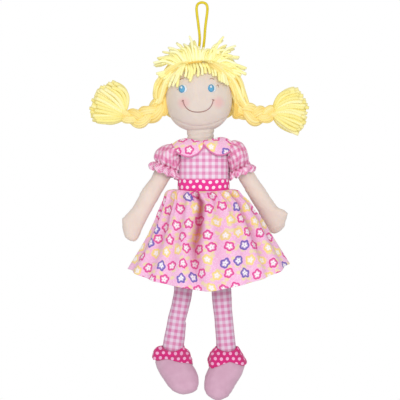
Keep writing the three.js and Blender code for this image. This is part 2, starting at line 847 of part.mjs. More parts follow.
// Legs, ankle ruffles and feet
function addLeg(name, side, spread, footPitch) {
  const pivot = hipPivot(side);
  const turn = new THREE.Euler(0, -side * radians(spread), 0);
  const gatherGroup = placedGroup(pivot);
  const group = placedGroup(pivot, turn);
  addPiece(`${name}_hip_gather`, ball(hipGatherRadius), gatherGroup, skinColour);
  const leg = bag(legForm, [ball(hipGatherRadius + gap)]);
  addPiece(`${name}_leg_cover`, leg.cover, group, legColour);
  addPiece(`${name}_leg_stuffing`, leg.filling, group, stuffingColour);

  const ankle = group.localToWorld(new THREE.Vector3(0, 0, -legLength));
  const footTurn = new THREE.Euler(-radians(footPitch), side * radians(footToeIn), 0, 'YXZ');
  const footGroup = placedGroup(ankle, footTurn);
  const ankleRoom = ball(ankleRadius + ankleGap);
  const flexRooms = [ankleFrontRoom, -ankleBackRoom].map((angle) => {
    const block = slab(0, cutOverrun).rotateX(radians(angle));
    return seenFrom(shifted(block, ankle), footGroup);
  });
  const foot = bag(footForm, [ankleRoom, ...flexRooms]);
  addPiece(`${name}_foot_cover`, foot.cover, footGroup, footColour);
  addPiece(`${name}_foot_stuffing`, foot.filling, footGroup, stuffingColour);

  const ruffleGroup = placedGroup(group.localToWorld(new THREE.Vector3(0, 0, ruffleRise - legLength)), turn);
  const footRoom = seenFrom(moved(formSkin(footForm, gap), footGroup.matrixWorld), ruffleGroup);
  const ruffle = flounce({
    topWidth: legWidth + 2 * (gap + ruffleWall),
    topDepth: legDepth + 2 * (gap + ruffleWall),
    width: ruffleWidth,
    depth: ruffleDepth,
    drop: ruffleDrop,
    sideLift: ruffleFrontDip,
    liftPower: ruffleLiftPower,
    tilt: 0,
    forward: ruffleForward,
    shift: 0,
    folds: (angle) => ruffleWall * Math.cos(ruffleFoldCount * angle),
    wall: ruffleWall,
  }, ruffleFlareShares, ruffleSides);
  addPiece(`${name}_ankle_ruffle`, largest(cut(ruffle, footRoom)), ruffleGroup, ruffleColour);
}
addLeg('right', -1, rightLegSpread, rightFootPitch);
addLeg('left', 1, leftLegSpread, leftFootPitch);

// Hair. Places on the head are given in its half sizes.
const onHead = ([x, y, z]) => new THREE.Vector3(
  (x * headWidth) / 2,
  (y * headDepth) / 2,
  (z * headHeight) / 2,
);

// A lock of yarn that bends through some points, with a thickness at each.
function lock(points, thicknesses, sides = 5) {
  const curve = new THREE.CatmullRomCurve3(points);
  const rings = points.map((point, i) => {
    const along = curve.getTangent(i / (points.length - 1));
    const across = new THREE.Vector3(0, 1, 0).cross(along);
    if (across.length() < 0.1) across.set(1, 0, 0);
    across.normalize();
    const up = along.clone().cross(across).normalize();
    return Array.from({ length: sides }, (_, k) => {
      const angle = (2 * Math.PI * k) / sides;
      return point.clone()
        .addScaledVector(across, (thicknesses[i] / 2) * Math.cos(angle))
        .addScaledVector(up, (thicknesses[i] / 2) * Math.sin(angle));
    });
  });
  return loft(rings, [points[0], points[points.length - 1]]);
}

const faceWindow = (spare) => {
  const block = new THREE.BoxGeometry(4 * cutOverrun, 2 * cutOverrun, 2 * cutOverrun);
  return block.translate(0, hairFrontEdge - spare - cutOverrun, hairlineRise - spare - cutOverrun);
};
const loopFromHead = shifted(loopRoom, headMiddle.clone().negate());
const plaitRooms = [-1, 1].map((side) => ball(plaitThickness / 2 + gap, plaitPivot(side).sub(headMiddle)));
const capOutside = (grow) => cut(formSkin(hairForm, hairThickness + grow), faceWindow(grow));
const napeCut = slab(-napeDrop - 2 * cutOverrun, -napeDrop);
const hairCap = cut(capOutside(0), formSkin(headForm, gap), napeCut, loopFromHead, ...plaitRooms);
addPiece('hair_cap', hairCap, headGroup, hairColour);

function tuft() {
  const core = new THREE.SphereGeometry(1, ballSides, ballRings);
  const [wide, deep, high] = tuftCoreShares;
  core.scale((wide * headWidth) / 2, (deep * headDepth) / 2, (high * headHeight) / 2);
  core.translate(0, 0, (tuftCoreRiseShare * headHeight) / 2);
  const [bendWide, bendBack, bendRise, bendArch] = tuftBendShares;
  const locks = tuftTipShares.map(([x, y, z]) => {
    const root = onHead([tuftRootShare * x, tuftRootShare * y, tuftCoreRiseShare]);
    const bendUp = THREE.MathUtils.lerp(tuftCoreRiseShare, z, bendRise) + bendArch;
    const bend = onHead([bendWide * x, bendBack * y, bendUp]);
    return lock([root, bend, onHead([x, y, z])], [lockThickness, lockThickness, strandTip]);
  });
  return cut(joined([core, ...locks]), formSkin(hairForm, hairThickness + gap), loopFromHead);
}
const tuftShape = tuft();
addPiece('top_tuft', tuftShape, headGroup, hairColour);

function fringe() {
  const [rootWide, rootBack, rootUp] = fringeRootShares;
  const [bendWide, bendBack, bendUp] = fringeBendShares;
  const [bendLie, tipLie, bendThick] = fringeLieShares;
  const locks = fringeTipShares.map(([x, y, z]) => {
    const root = onHead([rootWide * x, rootBack, rootUp]);
    const bend = onHead([bendWide * x, bendBack - bendLie * y, bendUp]);
    const tip = onHead([x, y + tipLie, z]);
    return lock([root, bend, tip], [fringeThickness, bendThick * fringeThickness, strandTip]);
  });
  return largest(cut(joined(locks), formSkin(headForm, gap), capOutside(gap), tuftShape));
}
addPiece('fringe', fringe(), headGroup, hairColour);

function sideHair(side) {
  const points = sideLockShares.map(([x, y, z]) => onHead([side * x, y, z]));
  const thicknesses = sideLockShares.map(([, , , size]) => size * sideLockThickness);
  const strand = lock(points, thicknesses, 8);
  const bundle = cut(strand, formSkin(headForm, gap), capOutside(gap), ...plaitRooms, tuftShape);
  return largest(bundle);
}
addPiece('right_side_hair', sideHair(-1), headGroup, hairColour);
addPiece('left_side_hair', sideHair(1), headGroup, hairColour);

function addPlait(name, side) {
  const { lumps, tie, tips } = plaitShares[name];
  const group = placedGroup(plaitPivot(side));
  const place = ([out, back, up]) => new THREE.Vector3(
    side * out * plaitThickness,
    back * plaitDepth,
    up * plaitThickness,
  );
  const tiePlace = place(tie);
  const lastLump = place(lumps[lumps.length - 1]);
  const along = tiePlace.clone().sub(lastLump).normalize();
  const lumpShapes = lumps.map(([out, back, up, size]) => {
    const lump = ball((size * plaitThickness) / 2);
    return shifted(lump, place([out, back, up]));
  });
  const tieEnd = tiePlace.clone().addScaledVector(along, -tieHeight / 2);
  const neck = lock([lastLump, tieEnd], [plaitNeckShare * plaitThickness, tieThickness], 8);
  const tieGroup = placedGroup(plaitPivot(side).add(tiePlace));
  tieGroup.quaternion.setFromUnitVectors(new THREE.Vector3(0, 0, 1), along);
  tieGroup.updateMatrixWorld(true);
  const tieRadius = tieThickness / 2;
  const tieSlab = lathe([
    new THREE.Vector2(0, -tieHeight / 2),
    new THREE.Vector2(plaitThickness / 2, -tieHeight / 2),
    new THREE.Vector2(plaitThickness / 2, tieHeight / 2),
    new THREE.Vector2(0, tieHeight / 2),
  ], 8);
  const tieRoom = seenFrom(moved(tieSlab, tieGroup.matrixWorld), group);
  addPiece(`${name}_plait`, cut(joined([...lumpShapes, neck]), tieRoom), group, hairColour);
  const band = lathe([
    new THREE.Vector2(0, -tieHeight / 2 + gap),
    new THREE.Vector2(tieRadius, -tieHeight / 2 + gap),
    new THREE.Vector2(tieRadius + tieRing, 0),
    new THREE.Vector2(tieRadius, tieHeight / 2 - gap),
    new THREE.Vector2(0, tieHeight / 2 - gap),
  ], 10);
  addPiece(`${name}_plait_tie`, band, tieGroup, hairColour);

  const tailRoot = tiePlace.clone().addScaledVector(along, tieHeight / 2);
  const locks = tips.map((tip) => {
    const end = place(tip);
    const bend = tailRoot.clone().lerp(end, tailBendShare);
    return lock([tailRoot, bend, end], [tailRootShare * tieThickness, tailThickness, strandTip]);
  });
  addPiece(`${name}_plait_tail`, cut(joined(locks), tieRoom), group, hairColour);
}
addPlait('right', -1);
addPlait('left', 1);

// Embroidery lies on the face: an outline pushed through a thin skin over the head.
const stitchSkin = cut(formSkin(headForm, gap + stitchHeight), formSkin(headForm, gap));
function stitched(outline, segments) {
  const block = new THREE.ExtrudeGeometry(outline, {
    depth: cutOverrun,
    curveSegments: segments,
    bevelEnabled: false,
  });
  block.rotateX(Math.PI / 2);
  return shared(stitchSkin, block);
}

function addEye(name, side) {
  const outline = new THREE.Shape();
  outline.absellipse(middle(eyeSpacing, side), eyeRise, eyeWidth / 2, eyeHeight / 2, 0, 2 * Math.PI);
  addPiece(`${name}_eye`, stitched(outline, curvePieces), headGroup, eyeColour, threadRoughness);
}

function arcBand(centreX, endsZ, width, sag, thickness) {
  const outline = new THREE.Shape();
  const half = width / 2;
  outline.moveTo(centreX - half, endsZ);
  outline.quadraticCurveTo(centreX, endsZ - 2 * sag, centreX + half, endsZ);
  outline.lineTo(centreX + half, endsZ + thickness);
  outline.quadraticCurveTo(centreX, endsZ + thickness - 2 * sag, centreX - half, endsZ + thickness);
  outline.closePath();
  return outline;
}

addEye('right', -1);
addEye('left', 1);
addPiece('right_brow', stitched(
  arcBand(-browSpacing / 2, browRise, browWidth, -browThickness / 2, browThickness),
  4,
), headGroup, browColour, threadRoughness);
addPiece('left_brow', stitched(
  arcBand(browSpacing / 2, browRise, browWidth, -browThickness / 2, browThickness),
  4,
), headGroup, browColour, threadRoughness);
const smileOutline = arcBand(0, -smileDrop, smileWidth, smileSag, smileThickness);
addPiece('mouth', stitched(smileOutline, curvePieces), headGroup, smileColour, threadRoughness);

export default doll;
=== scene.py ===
import json
import math
import random

import bpy
import numpy as np
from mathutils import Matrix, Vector, noise
from mathutils.bvhtree import BVHTree


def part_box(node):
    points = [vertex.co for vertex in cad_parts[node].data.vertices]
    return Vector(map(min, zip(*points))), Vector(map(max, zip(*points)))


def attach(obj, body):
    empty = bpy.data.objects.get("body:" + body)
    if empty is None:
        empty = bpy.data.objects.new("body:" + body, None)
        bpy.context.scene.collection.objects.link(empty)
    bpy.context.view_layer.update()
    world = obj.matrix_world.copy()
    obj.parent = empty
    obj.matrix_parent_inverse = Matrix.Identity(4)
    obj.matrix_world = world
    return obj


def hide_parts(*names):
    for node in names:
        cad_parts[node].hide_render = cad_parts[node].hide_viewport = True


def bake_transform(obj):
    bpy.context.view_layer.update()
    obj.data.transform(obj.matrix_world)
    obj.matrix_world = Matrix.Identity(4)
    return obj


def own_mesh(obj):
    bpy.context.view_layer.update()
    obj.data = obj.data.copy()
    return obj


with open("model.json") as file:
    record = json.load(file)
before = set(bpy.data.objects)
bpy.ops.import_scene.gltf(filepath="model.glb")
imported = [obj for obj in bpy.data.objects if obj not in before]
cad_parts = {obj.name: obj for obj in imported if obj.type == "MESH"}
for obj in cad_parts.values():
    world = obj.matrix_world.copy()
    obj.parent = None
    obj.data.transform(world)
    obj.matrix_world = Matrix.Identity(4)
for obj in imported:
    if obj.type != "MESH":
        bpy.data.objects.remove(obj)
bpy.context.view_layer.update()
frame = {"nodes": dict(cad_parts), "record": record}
mm = 0.001  # sizes below are millimetres unless they say otherwise
sides = {"right": -1, "left": 1}  # the doll's own right is -X


def tell(words):
    print("rag doll:", words)


def placed(name, data):  # a new object in the scene
    piece = bpy.data.objects.new(name, data)
    bpy.context.scene.collection.objects.link(piece)
    return piece


# Where the photograph's pixels lie on the doll, and the camera in front of it, which sees 20 metres
photo = {"size": 400, "middleX": 202, "topZ": 3.8, "width": 400, "distance": 2400, "film": 36, "sight": 20}


def fromPhoto(x, y, depth=0.0):  # a pixel as a place in metres, at a depth in millimetres
    return Vector(((x - photo["middleX"]) * mm, depth * mm, (photo["topZ"] - y) * mm))


def makeCamera():
    data = bpy.data.cameras.new("camera")
    data.sensor_width = photo["film"]
    data.lens = data.sensor_width * photo["distance"] / photo["width"]
    data.clip_end = photo["sight"]
    camera = placed("camera", data)
    half = photo["size"] / 2
    camera.location = fromPhoto(half, half, -photo["distance"])
    camera.rotation_euler = (math.radians(90), 0, 0)
    bpy.context.scene.camera = camera


makeCamera()
tell("camera is in place")


# Small tools for working on meshes
def letGo():
    if bpy.context.object and bpy.context.object.mode != "OBJECT":
        bpy.ops.object.mode_set(mode="OBJECT")
    bpy.ops.object.select_all(action="DESELECT")


def pick(piece):
    letGo()
    piece.select_set(True)
    bpy.context.view_layer.objects.active = piece
    return piece


def applied(piece, kind, **settings):
    pick(piece)
    change = piece.modifiers.new(kind.title(), kind)
    for name, value in settings.items():
        setattr(change, name, value)
    bpy.ops.object.modifier_apply(modifier=change.name)
    return piece


def smoothed(piece, levels):
    return applied(piece, "SUBSURF", levels=levels, render_levels=levels)


def softShade(piece):
    pick(piece)
    bpy.ops.object.shade_smooth()
    return piece


# flat holds one map point for each corner of each face
def meshPiece(name, points, faces, flat, mapName):
    mesh = bpy.data.meshes.new(name)
    mesh.from_pydata([tuple(p) for p in points], [], [tuple(f) for f in faces])
    layer = mesh.uv_layers.new(name=mapName)
    layer.data.foreach_set("uv", np.asarray(flat, np.float32).ravel())
    mesh.validate()
    mesh.polygons.foreach_set("use_smooth", [True] * len(mesh.polygons))
    return placed(name, mesh)


# Rows of points, and a flat map that has one more column where the cloth goes around
def clothGrid(name, rows, flat, around, mapName="clothMap"):
    high, wide = rows.shape[:2]
    faces, corners = [], []
    for i in range(high - 1):
        for k in range(wide if around else wide - 1):
            n = (k + 1) % wide
            faces.append((i * wide + k, (i + 1) * wide + k, (i + 1) * wide + n, i * wide + n))
            corners += [flat[i][k], flat[i + 1][k], flat[i + 1][k + 1], flat[i][k + 1]]
    return meshPiece(name, rows.reshape(-1, 3), faces, corners, mapName)


def marked(piece, name, values):  # a number for each point, which the finish reads
    layer = piece.data.attributes.new(name, "FLOAT", "POINT")
    layer.data.foreach_set("value", np.asarray(values, np.float32).ravel())


def thick(piece, wall):
    return applied(piece, "SOLIDIFY", thickness=wall * mm, offset=-1)


# A piece of cloth from rows in millimetres, and its area, with the painted shade of each point by how deep
# in a fold it lies
def sewn(name, rows, flat, around, wall, paintedShade=None):
    piece = clothGrid(name, rows * mm, flat * mm, around)
    area = sum(face.area for face in piece.data.polygons)
    if paintedShade is not None:
        marked(piece, "paintedShade", paintedShade)
    thick(piece, wall)
    return smoothed(piece, 1), area


def finished(piece, finish, body, *nodes):
    slot, material = finishes[finish]
    piece.data.materials.clear()
    piece.data.materials.append(material)
    if body:
        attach(piece, body)
    if nodes:
        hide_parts(*nodes)
    return piece


# Sums on curves and folds
def bell(x):
    return math.exp(-x * x)


def foldAt(away, swell, spread):  # in at the fold, and a swell beside it
    return swell * bell(away / spread) - bell(away)


def turnFrom(angle, middle, wide):  # how many widths an angle in degrees lies from a fold
    return ((angle - middle + 180) % 360 - 180) / wide


def along(points, count):  # a smooth curve through points, as count places
    points = np.asarray([tuple(p) for p in points], float)
    ends = np.vstack([2 * points[0] - points[1], points, 2 * points[-1] - points[-2]])
    places = []
    for t in np.linspace(0, len(points) - 1, count):
        i = min(int(t), len(points) - 2)
        u = t - i
        a, b, c, d = ends[i:i + 4]
        bend = 2 * a - 5 * b + 4 * c - d
        places.append(0.5 * (2 * b + (c - a) * u + bend * u * u + (3 * b - a - 3 * c + d) * u ** 3))
    return np.array(places)


def alongPixels(pixels, count):
    return along([(x, y, 0) for x, y in pixels], count)[:, :2]


tiny = 1e-12  # keeps a division from meeting zero


def directions(route):  # the way a route runs at each of its places
    run = np.gradient(route, axis=0)
    return run / (np.linalg.norm(run, axis=1)[:, None] + tiny)


def acrossRoute(run, front):  # two directions across a route at each of its places
    side = np.cross(run, front)
    side /= np.linalg.norm(side, axis=1)[:, None]
    return side, np.cross(side, run)


def runAlong(path):  # how far along its path each place lies
    return np.concatenate([[0], np.cumsum(np.linalg.norm(np.diff(path, axis=0), axis=1))])


def closedRing(ring):
    return np.concatenate([ring, ring[:1]])


# Materials
def tint(code):  # six hex digits as a linear colour
    parts = [int(code[i:i + 2], 16) / 255 for i in (0, 2, 4)]
    return [p / 12.92 if p <= 0.04045 else ((p + 0.055) / 1.055) ** 2.4 for p in parts] + [1.0]


class Wire:  # a node's output that takes part in sums
    def __init__(self, finish, socket):
        self.finish = finish
        self.socket = socket

    def by(self, operation, other=0.0):  # any Math operation on this value
        return self.finish.node("ShaderNodeMath", {"operation": operation}, {0: self, 1: other})

    def __add__(self, other):
        return self.by("ADD", other)

    def __sub__(self, other):
        return self.by("SUBTRACT", other)

    def __rsub__(self, other):
        return self.finish.node("ShaderNodeMath", {"operation": "SUBTRACT"}, {0: other, 1: self})

    def __mul__(self, other):
        return self.by("MULTIPLY", other)

    def __truediv__(self, other):
        return self.by("DIVIDE", other)

    def __mod__(self, other):
        return self.by("FLOORED_MODULO", other)

    __radd__ = __add__
    __rmul__ = __mul__


class Finish:  # one material and its nodes
    def __init__(self, name, roughness=0.9, sheen=0.25, soft=0.0):
        self.material = bpy.data.materials.new(name)
        self.material.use_nodes = True
        self.tree = self.material.node_tree
        self.shader = self.tree.nodes["Principled BSDF"]
        fixed = {"Roughness": roughness, "Sheen Weight": sheen, "Sheen Roughness": 0.5}
        fixed["Specular IOR Level"] = 0.2
        if soft:
            fixed["Subsurface Weight"] = soft
            fixed["Subsurface Radius"] = (1, 0.7, 0.4)
            fixed["Subsurface Scale"] = 0.003
        for socket, value in fixed.items():
            self.shader.inputs[socket].default_value = value

    def node(self, kind, settings=None, sockets=None, out=0):
        made = self.tree.nodes.new(kind)
        for name, value in (settings or {}).items():
            setattr(made, name, value)
        for name, value in (sockets or {}).items():
            if isinstance(value, Wire):
                self.tree.links.new(value.socket, made.inputs[name])
            else:
                made.inputs[name].default_value = value
        return Wire(self, made.outputs[out])

    def places(self, mapName=None):  # object coordinates, or a piece's own flat map
        if mapName:
            return self.node("ShaderNodeUVMap", {"uv_map": mapName})
        return self.node("ShaderNodeTexCoord", out="Object")

    def split(self, vector):
        parts = self.node("ShaderNodeSeparateXYZ", None, {0: vector})
        return [Wire(self, parts.socket.node.outputs[k]) for k in range(3)]

    def attribute(self, name):
        return self.node("ShaderNodeAttribute", {"attribute_name": name}, out="Fac")

    def noise(self, places, size, detail=2.0):  # size in millimetres
        sockets = {"Vector": places, "Scale": 1 / (size * mm), "Detail": detail}
        return self.node("ShaderNodeTexNoise", None, sockets)

    def mottle(self, size, low=0.3, high=0.7):  # soft patches, such as cloth has from wear
        return self.step(self.noise(self.places(), size), low, high)

    def step(self, value, low, high):  # 0 below low, 1 above high, smooth between
        sockets = {0: value, 1: low, 2: high, 3: 0.0, 4: 1.0}
        return self.node("ShaderNodeMapRange", {"interpolation_type": "SMOOTHSTEP"}, sockets)

    def mix(self, share, first, second):
        return self.node("ShaderNodeMix", {"data_type": "RGBA"}, {0: share, 6: first, 7: second}, out=2)

    def vectors(self, operation, *inputs):
        return self.node("ShaderNodeVectorMath", {"operation": operation}, dict(enumerate(inputs)))

    def shaded(self, colour, deep):  # painted shade: the colour is darkened where the cloth lies deep in a fold, as the bottom of a fold only has light from other folds
        return self.mix(self.attribute("paintedShade"), colour, self.vectors("MULTIPLY", colour, tint(deep)[:3]))

    def wave(self, value, length):  # a sine with one wave in that length
        return (value * (2 * math.pi / length)).by("SINE")

    def distance(self, x, y):
        return (x * x + y * y).by("SQRT")

    def colour(self, value):
        self.feed("Base Color", value)

    def feed(self, socket, value):
        self.tree.links.new(value.socket, self.shader.inputs[socket])

    def relief(self, height, depth):  # depth in millimetres
        bump = self.node("ShaderNodeBump", None, {"Height": height, "Distance": depth * mm, "Strength": 1.0})
        self.feed("Normal", bump)

    def weave(self, across, down, pitch):  # height of a plain weave
        return self.wave(across, pitch * mm) * self.wave(down, pitch * mm) * 0.5 + 0.5


# Lengths of the patterns are in millimetres
gingham = {
    "repeat": 6.35,
    "edge": 0.07,
    "thread": 0.5,
    "wear": (14, 0.35, 0.75, 0.10),  # size, low and high of its patches, and strength
    "worn": "fbeef6",
    # colour the cloth is multiplied by deep in its folds: painted shade
    "fold": "dc6fa4",
}


def ginghamFinish(name, pale, middle, full):
    finish = Finish(name)
    across, down, _ = finish.split(finish.places("clothMap"))
    edge = gingham["edge"]

    def stripe(value):  # half of each repeat is dyed
        phase = (value / (gingham["repeat"] * mm)) % 1.0
        return finish.step((phase - 0.5).by("ABSOLUTE"), 0.25 - edge, 0.25 + edge)

    threads = stripe(across) + stripe(down)
    one, both = finish.step(threads, 0.0, 1.0), finish.step(threads, 1.0, 2.0)
    base = finish.mix(both, finish.mix(one, tint(pale), tint(middle)), tint(full))
    *patches, strength = gingham["wear"]
    worn = finish.mix(finish.mottle(*patches) * strength, base, tint(gingham["worn"]))
    finish.colour(finish.shaded(worn, gingham["fold"]))
    finish.relief(finish.weave(across, down, gingham["thread"]), 0.06)
    return finish.material


dots = {
    "sash": {"size": 3.5, "pitch": 6.6, "row": 5.9, "pull": 0.9, "tones": ("ee3596", "e0278a", "fbe2f0")},
    "ruffle": {"size": 3.1, "pitch": 6.0, "row": 4.9, "pull": 0.5, "tones": ("dd2a80", "c81f70", "fbb9de")},
    "edge": 0.2,
    "pullSize": 16,
    "patch": 9,
    "thread": 0.4,
}


def dottedFinish(name, made):
    finish = Finish(name, roughness=0.8)
    across, down, _ = finish.split(finish.places("clothMap"))
    pull = finish.noise(finish.places(), dots["pullSize"], 0.0) - 0.5  # the cloth is stretched unevenly
    row = down / (made["row"] * mm) + pull * made["pull"]
    odd = (row.by("FLOOR") % 2.0) * 0.5
    sideways = ((across / (made["pitch"] * mm) + odd) % 1.0 - 0.5) * made["pitch"]
    upwards = (row % 1.0 - 0.5) * made["row"]
    radius, edge = made["size"] / 2, dots["edge"]
    inside = 1 - finish.step(finish.distance(sideways, upwards), radius - edge, radius + edge)
    ground, deep, dot = [tint(code) for code in made["tones"]]
    cloth = finish.mix(finish.mottle(dots["patch"]) * 0.5, ground, deep)
    finish.colour(finish.mix(inside, cloth, dot))
    finish.relief(finish.weave(across, down, dots["thread"]), 0.05)
    return finish.material


flowered = {
    "cell": 13.6,
    "radius": 5.2,
    "petals": 5,
    # Petal share and round share
    "rings": {"edge": (0.20, 0.80), "ring": (0.22, 0.46), "white": (0.26, 0.25)},
    "blur": 0.25,
    "ringBlur": 0.2,
    "eye": (0.3, 0.7),
    "loose": 0.30,
    "dyes": ["e8519f", "fbde8c", "7c66bf"],
    "dyeFrom": [0.600, 0.895],  # shares of the blossoms where the second and third dye start
    "sudden": 0.001,
    "ringPale": 0.45,
    "eyeStrength": 0.8,
    "pale": "fbeaf6",
    "white": "fbf6fb",
    "leaf": {"tone": "f0e4a4", "strength": 0.75,
             "size": (0.08, 0.17), "narrow": 1.8, "from": 0.250, "loose": 0.8},
    "leafPlace": ((1.9, 1.9, 1), (0.37, 0.71, 0)),  # how the leaves' grid is scaled and moved
    "speck": (0.75, 0.46, 0.62, 0.6),  # size, low, high and strength
    "ground": ("f6b5de", "fdeaf5"),
    # colour the print is multiplied by deep in its folds: painted shade
    "fold": "b85c76",
    "thread": 0.45,
}


def floweredFinish(name):
    finish = Finish(name)
    across, down, _ = finish.split(finish.places("clothMap"))
    cell = flowered["cell"] * mm
    grid = {0: across / cell + down / cell * 0.5, 1: down / cell}  # each row starts half a cell on
    scaled = finish.node("ShaderNodeCombineXYZ", None, grid)

    def motifs(places, loose):
        settings = {"voronoi_dimensions": "2D", "feature": "F1"}
        sockets = {"Vector": places, "Scale": 1.0, "Randomness": loose}
        outputs = finish.node("ShaderNodeTexVoronoi", settings, sockets).socket.node.outputs
        away = finish.vectors("SUBTRACT", places, Wire(finish, outputs["Position"]))
        awayX, awayY, _ = finish.split(away)
        return (awayX - awayY * 0.5, awayY), finish.split(Wire(finish, outputs["Color"]))

    (x, y), (kind, turn, _) = motifs(scaled, flowered["loose"])
    radius = finish.distance(x, y) * flowered["cell"]
    angle = y.by("ARCTAN2", x) + turn * (2 * math.pi)
    petals = (angle * (flowered["petals"] / 2)).by("SINE").by("ABSOLUTE")
    edge, ringEdge, whiteEdge = [
        radius - flowered["radius"] * (petals * petal + base) for petal, base in flowered["rings"].values()
    ]
    blossom = 1 - finish.step(edge, -flowered["blur"], flowered["blur"])
    ring = finish.step(ringEdge, -flowered["ringBlur"], flowered["ringBlur"])
    white = 1 - finish.step(whiteEdge, -flowered["blur"], flowered["blur"])
    eye = 1 - finish.step(radius, *flowered["eye"])
    dye = tint(flowered["dyes"][0])
    for start, code in zip(flowered["dyeFrom"], flowered["dyes"][1:]):
        dye = finish.mix(finish.step(kind, start, start + flowered["sudden"]), dye, tint(code))
    leaf = flowered["leaf"]
    shifted = finish.vectors("MULTIPLY_ADD", scaled, *flowered["leafPlace"])
    (leafX, leafY), (leafKind, _, _) = motifs(shifted, leaf["loose"])
    leafAway = leafX * leafX + leafY * leafY * leaf["narrow"]
    there = finish.step(leafKind, leaf["from"], leaf["from"] + flowered["sudden"])
    leafShare = (1 - finish.step(leafAway, *leaf["size"])) * there
    size, low, high, strength = flowered["speck"]
    specks = finish.step(finish.noise(finish.places(), size, 1.0), low, high) * strength
    ground = finish.mix(specks, *[tint(code) for code in flowered["ground"]])
    ground = finish.mix(leafShare * leaf["strength"], ground, tint(leaf["tone"]))
    paler = finish.mix(flowered["ringPale"], dye, tint(flowered["pale"]))
    colour = finish.mix(blossom, ground, finish.mix(ring, paler, dye))
    colour = finish.mix(white, colour, tint(flowered["white"]))
    colour = finish.mix(eye * flowered["eyeStrength"], colour, dye)
    finish.colour(finish.shaded(colour, flowered["fold"]))
    finish.relief(finish.weave(across, down, flowered["thread"]), 0.05)
    return finish.material


brushed = {"skinPatch": 11, "skinKnit": 0.55, "footPatch": 10, "footKnit": 0.5, "foot": ("d5abc1", "c799b1")}


def skinFinish(name, pale, deep, cheeks=None):
    finish = Finish(name, roughness=0.85, sheen=0.35, soft=0.25)
    places = finish.places()
    across, depth, up = finish.split(places)
    colour = finish.mix(finish.mottle(brushed["skinPatch"]) * 0.5, tint(pale), tint(deep))
    if cheeks:
        front = finish.step(depth * -1.0, 0.0, cheeks["fade"] * mm)
        for centre in cheeks["centres"]:
            away = finish.distance(across - centre[0], up - centre[2])
            spot = 1 - finish.step(away, cheeks["middle"] * mm, cheeks["radius"] * mm)
            colour = finish.mix(spot * front * cheeks["strength"], colour, tint(cheeks["colour"]))
    finish.colour(colour)
    finish.relief(finish.noise(places, brushed["skinKnit"], 3.0), 0.10)
    return finish.material


def footFinish(name):
    finish = Finish(name, roughness=0.85, sheen=0.4)
    pale, deep = [tint(code) for code in brushed["foot"]]
    finish.colour(finish.mix(finish.mottle(brushed["footPatch"]) * 0.5, pale, deep))
    finish.relief(finish.noise(finish.places(), brushed["footKnit"], 3.0), 0.12)
    return finish.material


# glow is painted light: a faint warm glow of the yarn, so its shadows fill as if light scattered through it
ply = {"lay": 4.4, "count": 2, "depth": 0.02, "glow": "f2dc72", "glowStrength": 0.13}


def yarnFinish(name, pale, full, deep):
    finish = Finish(name, roughness=0.95, sheen=0.1)
    around, run, _ = finish.split(finish.places("yarnMap"))
    tone = finish.attribute("strandTone")
    # each strand's tone runs from deep through full to pale: it differs at random, and low tones are painted
    # shade at the roots and in strands laid where shade falls
    colour = finish.mix(finish.step(tone, -0.1, 0.5), tint(deep), tint(full))
    finish.colour(finish.mix(finish.step(tone, 0.4, 1.1), colour, tint(pale)))
    lay = finish.wave(around * ply["count"] + run / (ply["lay"] * mm), 1.0)
    finish.relief(lay * 0.5 + 0.5, ply["depth"])
    # painted light: the yarn glows faintly
    finish.shader.inputs["Emission Color"].default_value = tint(ply["glow"])
    finish.shader.inputs["Emission Strength"].default_value = ply["glowStrength"]
    return finish.material


def threadFinish(name, colour, deep, direction, pitch=0.45):  # direction: the axis across the threads
    finish = Finish(name, roughness=0.55, sheen=0.2)
    strands = finish.wave(finish.split(finish.places())[direction], pitch * mm) * 0.5 + 0.5
    # painted shade: darker in the grooves between the threads
    finish.colour(finish.mix((1 - strands) * 0.5, tint(colour), tint(deep)))
    finish.relief(strands, 0.12)
    return finish.material


def fillingFinish(name, pale, deep, size=3):
    finish = Finish(name, roughness=1.0)
    tufts = finish.noise(finish.places(), size, 4.0)
    finish.colour(finish.mix(tufts, tint(pale), tint(deep)))
    finish.relief(tufts, 0.8)
    return finish.material


def cordFinish(name, deep, pale, pitch=1.3, slant=0.55):
    finish = Finish(name, roughness=0.5, sheen=0.2)
    x, y, z = finish.split(finish.places())
    lay = finish.wave(x + z * slant, pitch * mm) * finish.wave(y - z * slant, pitch * mm) * 0.5 + 0.5
    # painted shade: darker in the grooves of the cord's lay
    finish.colour(finish.mix(lay, tint(deep), tint(pale)))
    finish.relief(lay, 0.25)
    return finish.material


# The head's frame, which the face and the hair follow
headLow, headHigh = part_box("head_cover")
headHalf = Vector((33.6, 28.5, 36.8)) * mm
headMiddle = Vector(((headLow.x + headHigh.x) / 2, 0, headHigh.z - headHalf.z))
headRoundness = 2.3


def onHead(direction, stand=0.0):  # a place on the head, or standing off it by so many millimetres
    x, y, z = direction
    level = math.hypot(x, y)
    size = (level ** headRoundness + abs(z) ** headRoundness) ** (-1 / headRoundness)
    half = headHalf + Vector((stand, stand, stand)) * mm
    return headMiddle + Vector((x * half.x, y * half.y, z * half.z)) * size


